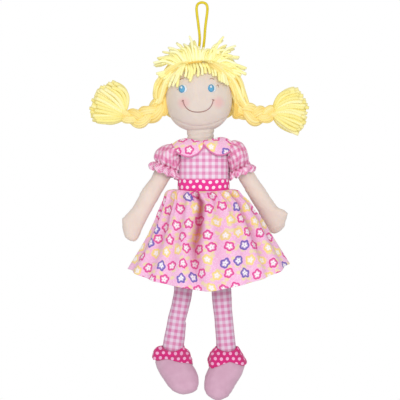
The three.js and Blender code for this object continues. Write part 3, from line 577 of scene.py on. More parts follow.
cheeks = {
    "centres": [fromPhoto(183.8, 104.0), fromPhoto(218.2, 103.5)],
    "middle": 1.5,
    "radius": 8.4,
    "fade": 5,
    "strength": 0.42,
    "colour": "f0a3a8",
}
finishes = {  # the record's slot and the material; the first one of a slot is on its solids too
    "skin": ("skin_cloth", skinFinish("skin_cloth", "e8d7cd", "e2cfc4")),
    # the neck's copy of the skin cloth is darker: painted shade under the head
    "neck": ("skin_cloth", skinFinish("neck_cloth", "dccfc5", "d4c5ba")),
    "face": ("skin_cloth", skinFinish("face_cloth", "e2d4ca", "dacbc0", cheeks)),
    "bodice": ("pink_gingham", ginghamFinish("pink_gingham", "eedeec", "e9b2d1", "de86b5")),
    # the sleeves' copy of the gingham is a deeper pink than the bodice's: painted shade of their puffed
    # folds
    "sleeves": ("pink_gingham", ginghamFinish("sleeve_gingham", "f3dcea", "efacce", "e47daf")),
    "legs": ("leg_gingham", ginghamFinish("leg_gingham", "e5d0e2", "dfaacb", "d67cab")),
    "print": ("flower_print", floweredFinish("flower_print")),
    "sash": ("sash_dots", dottedFinish("sash_dots", dots["sash"])),
    "ruffle": ("ruffle_dots", dottedFinish("ruffle_dots", dots["ruffle"])),
    "foot": ("foot_cloth", footFinish("foot_cloth")),
    "hair": ("hair_yarn", yarnFinish("hair_yarn", "f4edb4", "f3e092", "deb558")),
    "plaits": ("hair_yarn", yarnFinish("plait_yarn", "f0e4a8", "efd689", "dcb256")),
    "tails": ("hair_yarn", yarnFinish("tail_yarn", "f0e9b6", "ebe092", "dec66a")),
    "tips": ("hair_yarn", yarnFinish("tuft_yarn", "f6f4c6", "f1e99c", "e5cf76")),
    "filling": ("stuffing", fillingFinish("stuffing", "fbfaf5", "e6e3d9")),
    "loop": ("loop_cord", cordFinish("loop_cord", "d6bd18", "f6e238")),
    "binding": ("flower_print", threadFinish("collar_binding", "ee86bd", "e06aa9", 0, 0.5)),
    "iris": ("eye_thread", threadFinish("eye_thread", "72bce4", "5097c6", 2)),
    "rim": ("eye_thread", threadFinish("eye_rim_thread", "5fa5d0", "4788ba", 2)),
    "white": ("eye_thread", threadFinish("highlight_thread", "f6f8fb", "dfe6ee", 2)),
    "brow": ("brow_thread", threadFinish("brow_thread", "c39a84", "a87c66", 0)),
    "smile": ("mouth_thread", threadFinish("mouth_thread", "b0817b", "93645f", 0)),
    "elastic": ("elastic", threadFinish("elastic", "f4f2f4", "d9d6da", 2)),
}
solidFinish = {}
for slot, material in finishes.values():
    solidFinish.setdefault(slot, material)
for part in frame["record"]["subparts"]:
    node = frame["nodes"][part["node"]]
    node.data.materials.clear()
    node.data.materials.append(solidFinish[part["material_slot"]])
tell("finishes are made")


# The hanging loop: a cord in the same places as its solid
loop = {
    "thickness": 2.7,
    "steps": 61,
    "foot": [(-4.3, -52.75), (0.1, -52.75)],
    "bow": [(0.74, 0.028), (1.0, 0.1), (0.92, 0.22), (0.62, 0.45), (0.42, 0.7)],
    "halfWidth": 5.4,
    "height": 54.4,
}


def loopRoute():
    half, high, top = loop["halfWidth"], loop["height"], loop["thickness"] / 2
    left = [(half * wide, top - high * down) for wide, down in loop["bow"]]
    right = [(-x, z) for x, z in reversed(left)]
    flat = [loop["foot"][0], *right, (0, top), *left, loop["foot"][1]]
    return [Vector((x, 0, z)) * mm for x, z in flat]


strand = {"start": (0.3, 0.9, 0.31), "rootShare": 0.16}


# Round strands along paths, as one mesh; thickness and tones are one value, or one for each strand; shade
# darkens each root as painted shade
def yarn(name, paths, thickness, count=7, ends=0.8, tones=0.5, shade=0.0):
    points, faces, flat, tone = [], [], [], []
    angles = np.linspace(0, 2 * math.pi, count, endpoint=False)
    thickness, tones = [np.broadcast_to(values, len(paths)) for values in (thickness, tones)]
    for path, wide, own in zip(paths, thickness, tones):
        path = np.asarray(path, float)
        steps = len(path)
        run, length = directions(path), runAlong(path)
        side = np.cross(run[0], strand["start"])
        start = len(points)
        for i in range(steps):
            side = side - run[i] * np.dot(side, run[i])
            side /= np.linalg.norm(side) + tiny
            other = np.cross(run[i], side)
            size = wide / 2 * mm * (ends if i in (0, steps - 1) else 1.0)
            for angle in angles:
                points.append(path[i] + size * (math.cos(angle) * side + math.sin(angle) * other))
            deep = shade * bell(i / steps / strand["rootShare"])  # painted shade: each strand is darker at its root, where it lies deep among the others
            tone += [own - deep] * count
            for k in range(count if i else 0):
                n = (k + 1) % count
                low, high = start + (i - 1) * count, start + i * count
                faces.append((low + k, low + n, high + n, high + k))
                a, b = k / count, (k + 1) / count
                flat += [(a, length[i - 1]), (b, length[i - 1]), (b, length[i]), (a, length[i])]
        last = start + (steps - 1) * count
        faces.append(tuple(start + k for k in reversed(range(count))))
        faces.append(tuple(last + k for k in range(count)))
        flat += [(0, 0)] * count + [(0, length[-1])] * count
    piece = meshPiece(name, points, faces, flat, "yarnMap")
    marked(piece, "strandTone", tone)
    return piece


def makeLoop():
    route = along(loopRoute(), loop["steps"])
    curve = bpy.data.curves.new("hanging_cord", "CURVE")
    curve.dimensions = "3D"
    curve.bevel_depth = loop["thickness"] / 2 * mm
    curve.bevel_resolution = 4
    curve.use_fill_caps = True
    spline = curve.splines.new("POLY")
    spline.points.add(len(route) - 1)
    for point, place in zip(spline.points, route):
        point.co = (*place, 1)
    piece = finished(placed("hanging_cord", curve), "loop", "head", "hanging_loop")


makeLoop()
tell("loop is hung")


# Head: a ball of quads pushed into the head's shape
head = {
    "cuts": 6,
    "ripple": 0.25,
    "rippleSize": 16,
    "chinFold": (0.8, 1.1),  # depth and width
    "chinFoldZ": -123.4,
    "chinSag": (5.0, 20),  # how far the fold rises, so far beside the middle
}


def makeHead():
    letGo()
    bpy.ops.mesh.primitive_cube_add(size=2, location=(0, 0, 0))
    piece = bpy.context.object
    piece.name = "head_skin"
    smoothed(piece, head["cuts"])
    rise, aside = head["chinSag"]
    deep, wide = head["chinFold"]
    for vertex in piece.data.vertices:
        place = onHead(vertex.co.normalized())
        ripple = noise.noise(place / (head["rippleSize"] * mm)) * head["ripple"]
        out = (place - headMiddle).normalized()
        foldZ = (head["chinFoldZ"] + rise * ((place.x - headMiddle.x) / (aside * mm)) ** 2) * mm
        near = bell((place.z - foldZ) / (wide * mm)) if place.y < 0 else 0
        vertex.co = place + out * (ripple - near * deep) * mm
    softShade(piece)
    finished(piece, "face", "head", "head_cover")
    return piece


def treeOf(piece):
    return BVHTree.FromObject(piece, bpy.context.evaluated_depsgraph_get())


headTree = treeOf(makeHead())


def onFace(x, y, stand):  # the place on the face in front of a pixel of the photograph
    start = fromPhoto(x, y, -100)
    hit, normal, _, _ = headTree.ray_cast(start, Vector((0, 1, 0)))
    if hit is None:
        hit, normal, _, _ = headTree.find_nearest(fromPhoto(x, y, -10))
    return hit + normal * stand * mm


# Face: small patches of satin stitch and a stitched smile
face = {
    "eyes": {"right": (182.1, 90.1), "left": (210.9, 89.5)},
    "layers": {  # finish, stand off the face, half width, half height, and shift to the right and up
        "white": ("white", 0.15, 4.1, 4.3, 0.9, 0.1),
        "rim": ("rim", 0.4, 3.15, 3.75, 0, 0),
        "iris": ("iris", 0.6, 2.5, 3.1, 0.1, -0.1),
        "spark": ("white", 0.95, 0.95, 1.15, -0.2, 1.5),
    },
    "eyeEdge": 28,
    "crown": 0.35,
    "wall": 0.35,
    "browThread": 0.8,
    "lashThread": 0.7,
    "smileThread": 0.85,
    "lineStand": 0.15,
    "brows": {"right": [(180.2, 80.9), (182.0, 79.8), (184.4, 80.3)], "left": [(209.6, 80.3),
        (212.0, 79.6), (214.1, 81.0)]},
    "lashes": {"right": [(177.4, 90.6), (178.4, 90.4)], "left": [(216.4, 87.6), (217.7, 85.8),
        (218.4, 88.6)]},
    "smile": [(183.2, 101.6), (184.6, 106.0), (188.2, 110.3), (193.2, 112.6), (198.2, 113.0),
        (203.4, 112.4), (208.4, 110.0), (211.8, 105.6), (213.0, 101.2)],
    "ticks": [[(182.0, 102.4), (183.3, 101.3), (184.0, 101.6)], [(211.9, 100.3), (213.1, 101.0),
        (214.3, 101.2)]],
}


def patch(name, centre, layer, *nodes):
    finish, stand, wide, high, right, up = layer
    letGo()
    bpy.ops.mesh.primitive_circle_add(vertices=face["eyeEdge"],
                                      radius=1, fill_type="TRIFAN", location=(0, 0, 0))
    piece = bpy.context.object
    piece.name = name
    bpy.ops.object.mode_set(mode="EDIT")
    bpy.ops.mesh.select_all(action="SELECT")
    bpy.ops.mesh.subdivide(number_cuts=3)
    bpy.ops.object.mode_set(mode="OBJECT")
    for vertex in piece.data.vertices:
        x, y = vertex.co.x, vertex.co.y
        crown = face["crown"] * (1 - min(1.0, x * x + y * y))
        vertex.co = onFace(centre[0] + right + wide * x, centre[1] - up - high * y, stand + crown)
    thick(piece, face["wall"])
    softShade(piece)
    return finished(piece, finish, "head", *nodes)


def stitchedLine(name, pixels, steps, thickness, finish, *nodes):
    places = [onFace(x, y, face["lineStand"]) for x, y in alongPixels(pixels, steps)]
    piece = yarn(name, [along(places, steps)], thickness, count=8, ends=0.5)
    return finished(piece, finish, "head", *nodes)


def makeFace():
    for name in sides:
        for kind, layer in face["layers"].items():
            nodes = [f"{name}_eye"] if kind == "rim" else []
            patch(f"{name}_eye_{kind}", face["eyes"][name], layer, *nodes)
        brow, lash = face["brows"][name], face["lashes"][name]
        stitchedLine(f"{name}_brow_stitches", brow, 12, face["browThread"], "brow", f"{name}_brow")
        stitchedLine(f"{name}_lash_stitches", lash, 6, face["lashThread"], "brow")
    stitchedLine("smile_stitches", face["smile"], 60, face["smileThread"], "smile", "mouth")
    for number, tick in enumerate(face["ticks"]):
        stitchedLine(f"smile_tick_{number}", tick, 8, face["smileThread"], "smile")


makeFace()
tell("head and face are sewn")


# Neck and body
def ringAround(middle, across, depth, count, power):  # a rounded ring in a level plane
    ring = []
    for a in np.linspace(0, 2 * math.pi, count, endpoint=False):
        x, y = math.cos(a), math.sin(a)
        size = (abs(x) ** power + abs(y) ** power) ** (-1 / power)
        ring.append((middle[0] + across * x * size, middle[1] + depth * y * size, middle[2]))
    return np.array(ring)


frontShare = 0.75  # a ring starts at the doll's left, and is in front after three quarters of its way


def flatMap(rows):  # how far around and how far along each point of the rows lies
    closed = np.concatenate([rows, rows[:, :1]], axis=1)
    steps = np.linalg.norm(np.diff(closed, axis=1), axis=2)
    around = np.concatenate([np.zeros((len(rows), 1)), np.cumsum(steps, axis=1)], axis=1)
    around -= around[:, -1:] * frontShare
    down = np.linalg.norm(np.diff(closed, axis=0), axis=2)
    down = np.concatenate([np.zeros((1, closed.shape[1])), np.cumsum(down, axis=0)])
    return np.stack([around, -down], axis=2)


neck = {
    "middle": -1.5,
    "across": 13.5,
    "depth": 9.8,
    "power": 2.2,
    "top": -119,
    "low": -147,
    "flare": (0.06, -133, 14),  # how much wider it gets, from which height, and how far above and below
    "creaseZ": -131.0,
    "creaseSlope": 0.10,
    "creases": [(0, 0.9, 1.0), (4.5, 1.0, 0.5)],  # how far down, width and depth
    "creaseEnd": 3,
    "rows": 29,
    "columns": 48,
}


def makeNeck():
    rows = []
    wider, flareZ, flareHeight = neck["flare"]
    for z in np.linspace(neck["top"], neck["low"], neck["rows"]):
        flare = 1 + wider * ((z - flareZ) / flareHeight) ** 2
        middle = (neck["middle"], 0, z)
        across, depth = neck["across"] * flare, neck["depth"] * flare
        ring = ringAround(middle, across, depth, neck["columns"], neck["power"])
        slant = neck["creaseZ"] + (ring[:, 0] - neck["middle"]) * neck["creaseSlope"]
        pinch = ring[:, 0] * 0
        for under, wide, deep in neck["creases"]:
            pinch += deep * np.exp(-((z - slant + under) / wide) ** 2) * (ring[:, 1] < neck["creaseEnd"])
        out = ring - middle
        out /= np.linalg.norm(out, axis=1)[:, None]
        rows.append(ring - out * pinch[:, None])
    rows = np.array(rows)
    piece = clothGrid("neck_skin", rows * mm, flatMap(rows) * mm, True)
    smoothed(piece, 1)
    finished(piece, "neck", "neck", "neck_cover")


makeNeck()

bodice = {
    "middle": 1.6,
    "power": 2.4,
    "rows": [(-188.6, 23.6, 16.4), (-184, 23.7, 16.5), (-180, 23.8, 16.6), (-172, 24.2, 17.0),
        (-164, 24.4, 17.2), (-156, 24.3, 17.0), (-150, 23.9, 16.5), (-146, 22.8, 15.6),
        (-143, 21.0, 14.3), (-140.6, 18.2, 12.6), (-139.0, 15.2, 11.0), (-137.8, 13.4, 10.0)],
    "columns": 96,
    "levels": 45,
    "ripple": (0.0175, 14, 9),  # share of the size, width and height
    "widest": 0.4,
    "wall": 0.6,
}


def makeBodice():
    table = np.array(bodice["rows"])
    swell, rippleWidth, rippleHeight = bodice["ripple"]
    rows = []
    for t in np.linspace(0, len(table) - 1, bodice["levels"]):
        z, across, depth = [np.interp(t, range(len(table)), table[:, k]) for k in range(3)]
        ring = ringAround((bodice["middle"], 0, z), across, depth, bodice["columns"], bodice["power"])
        for point in ring:
            place = Vector((point[0] / rippleWidth, point[1] / rippleWidth, z / rippleHeight))
            point[:2] *= 1 + noise.noise(place) * swell
        rows.append(ring)
    rows = np.array(rows)
    flat = flatMap(rows)
    path = closedRing(rows[int(len(rows) * bodice["widest"])])
    run = runAlong(path)
    run -= run[-1] * frontShare
    half = bodice["columns"] // 2
    for i, ring in enumerate(rows):  # the cloth's upright threads stay upright where the shoulders narrow
        wider = closedRing(ring)[:, 0]
        flat[i, :half + 1, 0] = np.interp(-wider[:half + 1], -path[:half + 1, 0], run[:half + 1])
        flat[i, half:, 0] = np.interp(wider[half:], path[half:, 0], run[half:])
    piece, _ = sewn("bodice_cloth", rows, flat, True, bodice["wall"])
    finished(piece, "bodice", "torso", "bodice", "torso_cover")


makeBodice()

sash = {"top": -175.2, "low": -187.6, "across": 25.5, "depth": 17.6, "bulge": 0.5, "wall": 0.8, "levels": 13}


def makeSash():
    rows = []
    for t in np.linspace(0, 1, sash["levels"]):
        z = sash["top"] + (sash["low"] - sash["top"]) * t
        swell = sash["bulge"] * (math.sin(math.pi * t) - (t in (0, 1)))  # its edges are turned in
        across, depth = sash["across"] + swell, sash["depth"] + swell
        rows.append(ringAround((bodice["middle"], 0, z), across, depth, bodice["columns"], bodice["power"]))
    rows = np.array(rows)
    piece, _ = sewn("sash_band", rows, flatMap(rows), True, sash["wall"])
    finished(piece, "sash", "torso", "sash")


makeSash()

collar = {  # places in front, over the shoulder and behind: x, y, z for the doll's right lobe
    "inner": [(1.2, -10.8, -138.4), (-5, -11.2, -136.8), (-11.5, -8, -135.2), (-14.6, -1, -134.6),
        (-12.5, 6.5, -134.8), (-6, 10.8, -135.6), (1.2, 11.5, -136.4)],
    "outer": {"right": [(1.4, -12.0, -139.2), (0.0, -17.3, -145.6), (-6.5, -18.9, -151.4),
        (-15, -18.9, -153.4), (-25.2, -14.2, -148.4), (-30.2, -5, -141), (-29.2, 5, -141.2),
        (-23, 14.2, -147), (-13, 18.2, -151), (-3, 18.4, -150), (1.0, 17, -146), (1.4, 13, -138.5)],
        "left": [(-0.2, -12.0, -139.2), (5.0, -17.4, -144.6), (9.5, -18.9, -148.8), (17, -18.9, -151.8),
        (26.2, -14.2, -149), (31.4, -5, -140), (30.2, 5, -139.6), (24, 14.2, -147), (16, 18.2, -151),
        (6, 18.4, -150), (2.4, 17, -146), (2.0, 13, -138.5)]},
    "bulge": 1.6,
    "rise": {"right": 0.3, "left": 1.5},
    "spread": (1.05, 0.85, 0.6),  # how far the print runs across, down and over the shoulder
    "shift": {"right": 0, "left": 8.5},
    "points": 60,
    "levels": 12,
    "wall": 0.9,
    "binding": 1.5,
    "height": 0.014,  # metres, of the flat cloth
}


def makeCollar(name, way):
    middle = bodice["middle"]
    inner = along([(middle + (x - middle) * -way, y, z) for x, y, z in collar["inner"]], collar["points"])
    inner[:, 2] += collar["rise"][name]
    outer = along(collar["outer"][name], collar["points"])
    rows = []
    for t in np.linspace(0, 1, collar["levels"]):
        row = inner + (outer - inner) * t
        swell = collar["bulge"] * math.sin(math.pi * t)
        row[:, 2] += swell
        row[:, 1] += np.sign(row[:, 1]) * swell
        rows.append(row[::way])
    rows = np.array(rows)
    across, down, over = collar["spread"]
    flatX = rows[..., 0] * across - collar["shift"][name]
    flat = np.stack([flatX, rows[..., 2] * down - abs(rows[..., 1]) * over], axis=2)
    piece, area = sewn(f"{name}_collar_lobe", rows, flat, False, collar["wall"])
    finished(piece, "print", "torso", f"{name}_collar")
    piping = yarn(f"{name}_collar_binding", [rows[-1] * mm], collar["binding"], count=8, ends=0.7)
    finished(piping, "binding", "torso")
    high = collar["height"]
    area / high


for name, way in sides.items():
    makeCollar(name, way)
tell("bodice, sash and collar are sewn")

# The skirt hangs in two halves
skirt = {
    "waist": {"x": 0.8, "across": 25.4, "depth": 18.2, "z": -187.4},
    "hem": {"x": 7.0, "across": 79.6, "depth": 39.0, "drop": 98.8, "tilt": 5.0},
    # The hem rises at its sides
    "lift": {"height": 23.6, "straight": (0.71, 0.64), "power": 5.5, "blunt": 0.12},
    # Share down, flare, fold, and move to the side
    "flare": [(0, 0, 0, 0), (0.008, 0.026, 0.15, 0), (0.02, 0.1, 0.4, 0), (0.035, 0.165, 0.45, 0),
        (0.05, 0.195, 0.5, 0), (0.08, 0.23, 0.6, 0.11), (0.12, 0.282, 0.75, 0.42),
        (0.165, 0.332, 0.85, 0.52), (0.28, 0.42, 1, 0.65), (0.4, 0.517, 1, 0.9), (0.66, 0.715, 1, 1),
        (1, 1, 1, 1)],
    # Share down, and height of the swell over the seam
    "poof": [(0, 0), (0.008, 3.0), (0.02, 3.4), (0.035, 3.2), (0.05, 2.5), (0.08, 1.4), (0.12, 0.5),
        (0.165, 0)],
    # Middle and half width in degrees, and depth, of the folds and of the creases between them
    "folds": [(260, 6.5, 8.4), (282, 7, 3.4), (303, 7, 2.9), (321, 7, 5.5), (345, 8, 3.4), (238, 7, 3.6),
        (216, 8, 4.6), (193, 8, 3.4), (14, 9, 4), (40, 10, 4.6), (66, 9, 4.2), (92, 9, 6.7),
        (118, 9, 4.6), (144, 9, 4.2), (169, 8, 3.6)],
    "creases": [(197, 3.0, 1.3), (226, 3.0, 1.6), (250, 3.0, 1.8), (271, 2.6, 1.6), (291, 3.0, 1.8),
        (312, 2.6, 1.6), (333, 3.0, 1.6), (352, 3, 1.2), (26, 3.2, 1.5), (53, 3.2, 1.6), (80, 3.2, 1.6),
        (105, 3.2, 1.6), (131, 3.2, 1.5), (156, 3.2, 1.4)],
    # Where the front fold is, how wide, and how many degrees it leans so far down
    "lean": (260, 24, [(0.0, 0.0), (0.1, 4.5), (0.32, 0.0), (0.55, -4.0), (1.0, 1.5)]),
    "foldSwell": (0.42, 2.4),  # how high the cloth swells beside a fold, and how wide
    "creaseSwell": (0.5, 2.2),
    "creaseFade": (0.05, 0.62),
    "gathers": (38, 1.5, 0.16),  # number, height and how far down they reach
    "gatherTop": 0.02,
    "wander": (3, 4.0, 6),  # how often, which and how strongly the gathers differ
    "ripple": (4.5, 2.2, 1.1),
    # strengths of the painted shade in folds, creases, under the waist seam, between gathers and inside the
    # hem, and the most it may be
    "paintedShades": {"fold": 1.0, "crease": 0.05, "seam": 0.05, "gathers": 0.12, "hem": 0.3, "most": 0.9},
    "cone": 60,
    "split": (260, 92),
    "columns": 290,
    "topRows": 14,
    "rows": 60,
    "keep": 0.2,
    "turnUp": (0.6, 3.0, 6.0),
    "wall": 0.7,
    "lap": 3,
    "height": 0.104,  # metres, of the flat cloth
}
skirtCurve = along(skirt["flare"], 121)


def gatherAt(angle):  # a wave around the waist; the gathers are not all as wide as one another
    often, which, strong = skirt["wander"]
    a = math.radians(angle)
    wander = noise.noise(Vector((math.cos(a) * often, math.sin(a) * often, which))) * strong
    return math.sin(a * skirt["gathers"][0] + wander)


def creaseAt(share):  # how deep the creases still are, so far down
    start, end = skirt["creaseFade"]
    return max(0.0, 1 - max(0.0, share - start) / (end - start)) ** 0.7


def skirtPoint(angle, share):  # angle in degrees, share from the waist down to the hem
    waist, hem, lift = skirt["waist"], skirt["hem"], skirt["lift"]
    flare, full, moved = [float(np.interp(share, skirtCurve[:, 0], skirtCurve[:, k])) for k in (1, 2, 3)]
    where, width, lean = skirt["lean"]
    a = math.radians(angle + float(np.interp(share, *zip(*lean))) * bell((angle - where) / width))
    straight, blunt = lift["straight"][1 if math.cos(a) > 0 else 0], lift["blunt"]
    aside = (math.hypot(math.cos(a), blunt) - blunt) / (math.hypot(1, blunt) - blunt)
    lifted = straight * aside + (1 - straight) * aside ** lift["power"]
    drop = hem["drop"] - lift["height"] * lifted - hem["tilt"] / 2 * math.cos(a)
    poof = float(np.interp(share, *zip(*skirt["poof"]))) * abs(math.cos(a)) ** 1.5
    folds, creases = [
        sum(deep * foldAt(turnFrom(angle, *fold), *skirt[swell]) for *fold, deep in skirt[kind])
        for kind, swell in (("folds", "foldSwell"), ("creases", "creaseSwell"))
    ]
    _, ridge, fade = skirt["gathers"]
    top = skirt["gatherTop"]
    near = bell((share - top) / fade) * min(1.0, share / top)
    push = (folds + creaseAt(share) * creases) * full + ridge * near * gatherAt(angle)
    around, down, high = skirt["ripple"]
    push += noise.noise(Vector((math.cos(a) * around, math.sin(a) * around, share * down))) * high * full
    across = waist["across"] + (hem["across"] - waist["across"]) * flare + push
    depth = waist["depth"] + (hem["depth"] - waist["depth"]) * flare + push
    x = waist["x"] + (hem["x"] - waist["x"]) * moved
    return (x + across * math.cos(a), depth * math.sin(a), waist["z"] - drop * share + poof)


def skirtPaintedShade(angle, share):  # painted shade, 0 to 1: darker deep in folds and creases, under the waist seam and between the gathers
    paintedShades = skirt["paintedShades"]
    deepest = max(deep for *_, deep in skirt["folds"])
    low = max(0.0, 1 - max(0.0, share - 0.45) / 0.5)
    depth = paintedShades["seam"] * bell((share - skirt["gatherTop"]) / 0.035)
    for *fold, deep in skirt["folds"]:
        away = turnFrom(angle, *fold)
        depth += paintedShades["fold"] * (deep / deepest) ** 1.8 * bell(away * 1.35) * min(1.0, share / 0.06) * low
    for *fold, deep in skirt["creases"]:
        away = turnFrom(angle, *fold)
        depth += paintedShades["crease"] * deep * creaseAt(share) * bell(away * 1.2) * min(1.0, share / 0.04)
    depth += paintedShades["gathers"] * max(0.0, -gatherAt(angle)) * bell((share - 0.03) / skirt["gathers"][2])
    return min(paintedShades["most"], depth)


def makeSkirt():
    count, wall, lap = skirt["columns"], skirt["wall"], skirt["lap"]
    angles = np.linspace(0, 360, count, endpoint=False)
    topRows = np.linspace(0, 0.1, skirt["topRows"])[:-1]  # they stand closer, for the gathers
    shares = np.concatenate([topRows, np.linspace(0.1, 1, skirt["rows"])])
    rows = np.array([[skirtPoint(a, s) for a in angles] for s in shares])
    paintedShade = [[skirtPaintedShade(a, s) for a in angles] for s in shares]
    inward = -np.array([(math.cos(math.radians(a)), math.sin(math.radians(a)), 0) for a in angles])
    turned = [rows[-1] + inward * wall * 0.9 - (0, 0, wall * 0.3)]
    for step in skirt["turnUp"]:  # the hem is turned up inside
        k = len(rows) - 1 - max(1, round(step / 1.5))
        turned.append(rows[k] + inward * wall * 1.9)
    rows = np.concatenate([rows, np.array(turned)])
    # painted shade inside the turned-up hem
    paintedShade = np.array(paintedShade + [[skirt["paintedShades"]["hem"]] * count] * len(turned))
    down = np.linalg.norm(np.diff(rows, axis=0), axis=2)
    down = np.concatenate([np.zeros((1, count)), np.cumsum(down, axis=0)])
    hemRow = len(shares) - 1
    hemRun = runAlong(closedRing(rows[hemRow]))
    first, second = [int(round(a / 360 * count)) for a in skirt["split"]]
    for name, (start, end) in {"right": (second, first), "left": (first, second + count)}.items():
        columns = np.arange(start, end + 1 + lap)
        own = columns % count
        part = rows[:, own].copy()
        for k in range(lap + 1):  # each half tucks one edge under the other
            part[:, -1 - k] += inward[own[-1 - k]] * wall * 1.7 * (1 - k / (lap + 1)) ** 0.3
        run = hemRun[own] + (columns // count) * hemRun[-1]
        reach = skirt["cone"] + down[:, own]  # the cloth is cut as a part of a cone
        turn = (run - hemRun[int(count * frontShare)]) / reach[hemRow].mean()
        flat = np.stack([reach * np.sin(turn), -reach * np.cos(turn)], axis=2)
        piece, area = sewn(f"{name}_skirt_half", part, flat, False, wall, paintedShade[:, own])
        finished(piece, "print", "torso", "skirt")
        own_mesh(piece)
        high = skirt["height"]
        area / high


makeSkirt()
tell("skirt is gathered")

# Sleeves: outer and inner ends of each ring in the photograph's plane, and the ring's depth
sleeves = {
    "right": [((-24.5, -140.5), (-21.6, -157), 10.5), ((-30.5, -140.6), (-22.0, -160.5), 13.5),
        ((-38.5, -142.6), (-22.2, -163.0), 16.0), ((-44.8, -148.0), (-22.4, -165.2), 17.0),
        ((-47.2, -154.0), (-23.2, -166.4), 15.6), ((-46.4, -157.0), (-23.8, -167.0), 12.4),
        ((-46.0, -158.0), (-24.2, -168.0), 11.8), ((-50.0, -158.2), (-22.8, -170.6), 13.6),
        ((-53.0, -160.6), (-21.8, -173.6), 15.0), ((-52.4, -164.6), (-23.2, -176.6), 15.0)],
    "left": [((27.6, -137.5), (24.8, -156), 10.5), ((34.0, -136.8), (25.4, -159.5), 13.5),
        ((41.0, -139.4), (26.0, -163), 16.0), ((45.4, -145.8), (26.6, -166.0), 17.0), ((46.8, -153.8),
        (27.4, -168.2), 15.6), ((46.6, -159.4), (27.2, -168.8), 12.4), ((46.8, -160.4), (27.4, -169.6),
        11.8), ((50.4, -160.8), (26.4, -171.0), 13.6), ((53.0, -163.2), (26.0, -173.4), 15.0),
        ((51.2, -167.4), (27.4, -176.4), 15.0)],
    "creases": [(196, 8, 2.4), (222, 7, 3.4), (250, 7, 3.2), (276, 7, 4.0), (303, 7, 3.2), (330, 8, 3.0),
        (20, 9, 2.8), (50, 9, 3.0), (84, 9, 3.2), (118, 9, 3.0), (152, 9, 2.8)],
    "puckers": (13, 0.9),  # number and height
    "frill": (10, 1.9),
    "frillFrom": 0.68,
    "dip": 0.9,  # how far the frill's edge rises and falls
    "puffAt": (0.64, 0.20),  # share of the way where it is fullest, and how wide that is
    "topPuff": (0.5, 0.15),
    "elasticAt": (0.67, 0.03),
    "drift": (1.3, 2, 9, 2.5),  # how the folds wander: around, down, from sleeve to sleeve, and how far
    "lumps": (1.6, 3, 5, 2.2),
    "slope": 22,
    # strengths of the painted shade under the elastic, in the creases and in the frill's troughs, and the
    # most it may be
    "inner": {"elastic": 0.12, "crease": 0.21, "frill": 0.35, "most": 0.8},
    "clear": 1.1,
    "rings": 49,
    "columns": 150,
    "turnBack": {"right": 0, "left": 12},
    "turnFrom": (-146, 18),  # height of the shoulder, and how far below it the full turn starts
    "grain": 30,
    "blend": ((25, -146), (33, -160)),
    "wall": 0.5,
    "height": 0.04,  # metres, of the flat cloth
}


def sleeveRing(way, share, outer, inner, depth):  # one ring of the sleeve, and the painted shade of its folds
    (ox, oz), (ix, iz) = outer, inner
    facing = 1 if ox > ix else -1
    middle = Vector(((ox + ix) / 2, 0, (oz + iz) / 2))
    down = Vector(((iz - oz) * facing, 0, (ox - ix) * facing)).normalized()
    start = sleeves["frillFrom"]
    (fullest, width), (top, topWidth) = sleeves["puffAt"], sleeves["topPuff"]
    puff = bell((share - fullest) / width) + top * bell(share / topWidth)
    frill = max(0.0, (share - start) / (1 - start)) ** 1.1
    strong = min(1.0, 0.45 + 0.7 * puff) * (1 - min(1.0, frill * 3)) * min(1.0, share / 0.08)
    count, high = sleeves["puckers"]
    waves, tall = sleeves["frill"]
    paintedShades = sleeves["inner"]
    elastic, elasticWidth = sleeves["elasticAt"]
    driftAround, driftDown, driftWay, driftFar = sleeves["drift"]
    lumpAround, lumpDown, lumpWay, lumpHigh = sleeves["lumps"]
    row, paintedShade = [], []
    for a in np.linspace(0, 2 * math.pi, sleeves["columns"], endpoint=False):
        half = Vector(((ox - ix) / 2 * math.cos(a), depth * math.sin(a), (oz - iz) / 2 * math.cos(a)))
        drift = noise.noise(Vector((a * driftAround, share * driftDown, way * driftWay))) * driftFar
        frillWave = math.sin(a * waves + way + drift * 0.5)
        ripple = (abs(math.sin((a * count + drift) / 2)) ** 0.7 * 1.2 - 0.6) * high * puff * (1 - frill)
        ripple += frillWave * tall * frill
        place = Vector((math.cos(a), math.sin(a), 0)) * lumpAround
        place.z = share * lumpDown + way * lumpWay
        ripple += noise.noise(place) * lumpHigh * math.sin(math.pi * min(1, share / 0.75))
        # painted shade under the elastic, in the creases and in the frill's troughs
        inside = paintedShades["elastic"] * bell((share - elastic) / elasticWidth)
        for where, wide, deep in sleeves["creases"]:
            lean = (share - 0.6) * sleeves["slope"] * (1 if where % 2 else -1)
            away = turnFrom(math.degrees(a) + lean, where, wide)
            ripple += deep * foldAt(away, 0.4, 2.3) * strong
            inside += paintedShades["crease"] * deep * bell(away * 1.3) * strong
        inside += paintedShades["frill"] * frill * max(0.0, -frillWave)
        dip = down * math.sin(a * waves + 1.3) * sleeves["dip"] * frill
        row.append(middle + half + half.normalized() * ripple - dip)
        paintedShade.append(min(paintedShades["most"], inside))
    return [tuple(point) for point in row[::way]], paintedShade[::way]


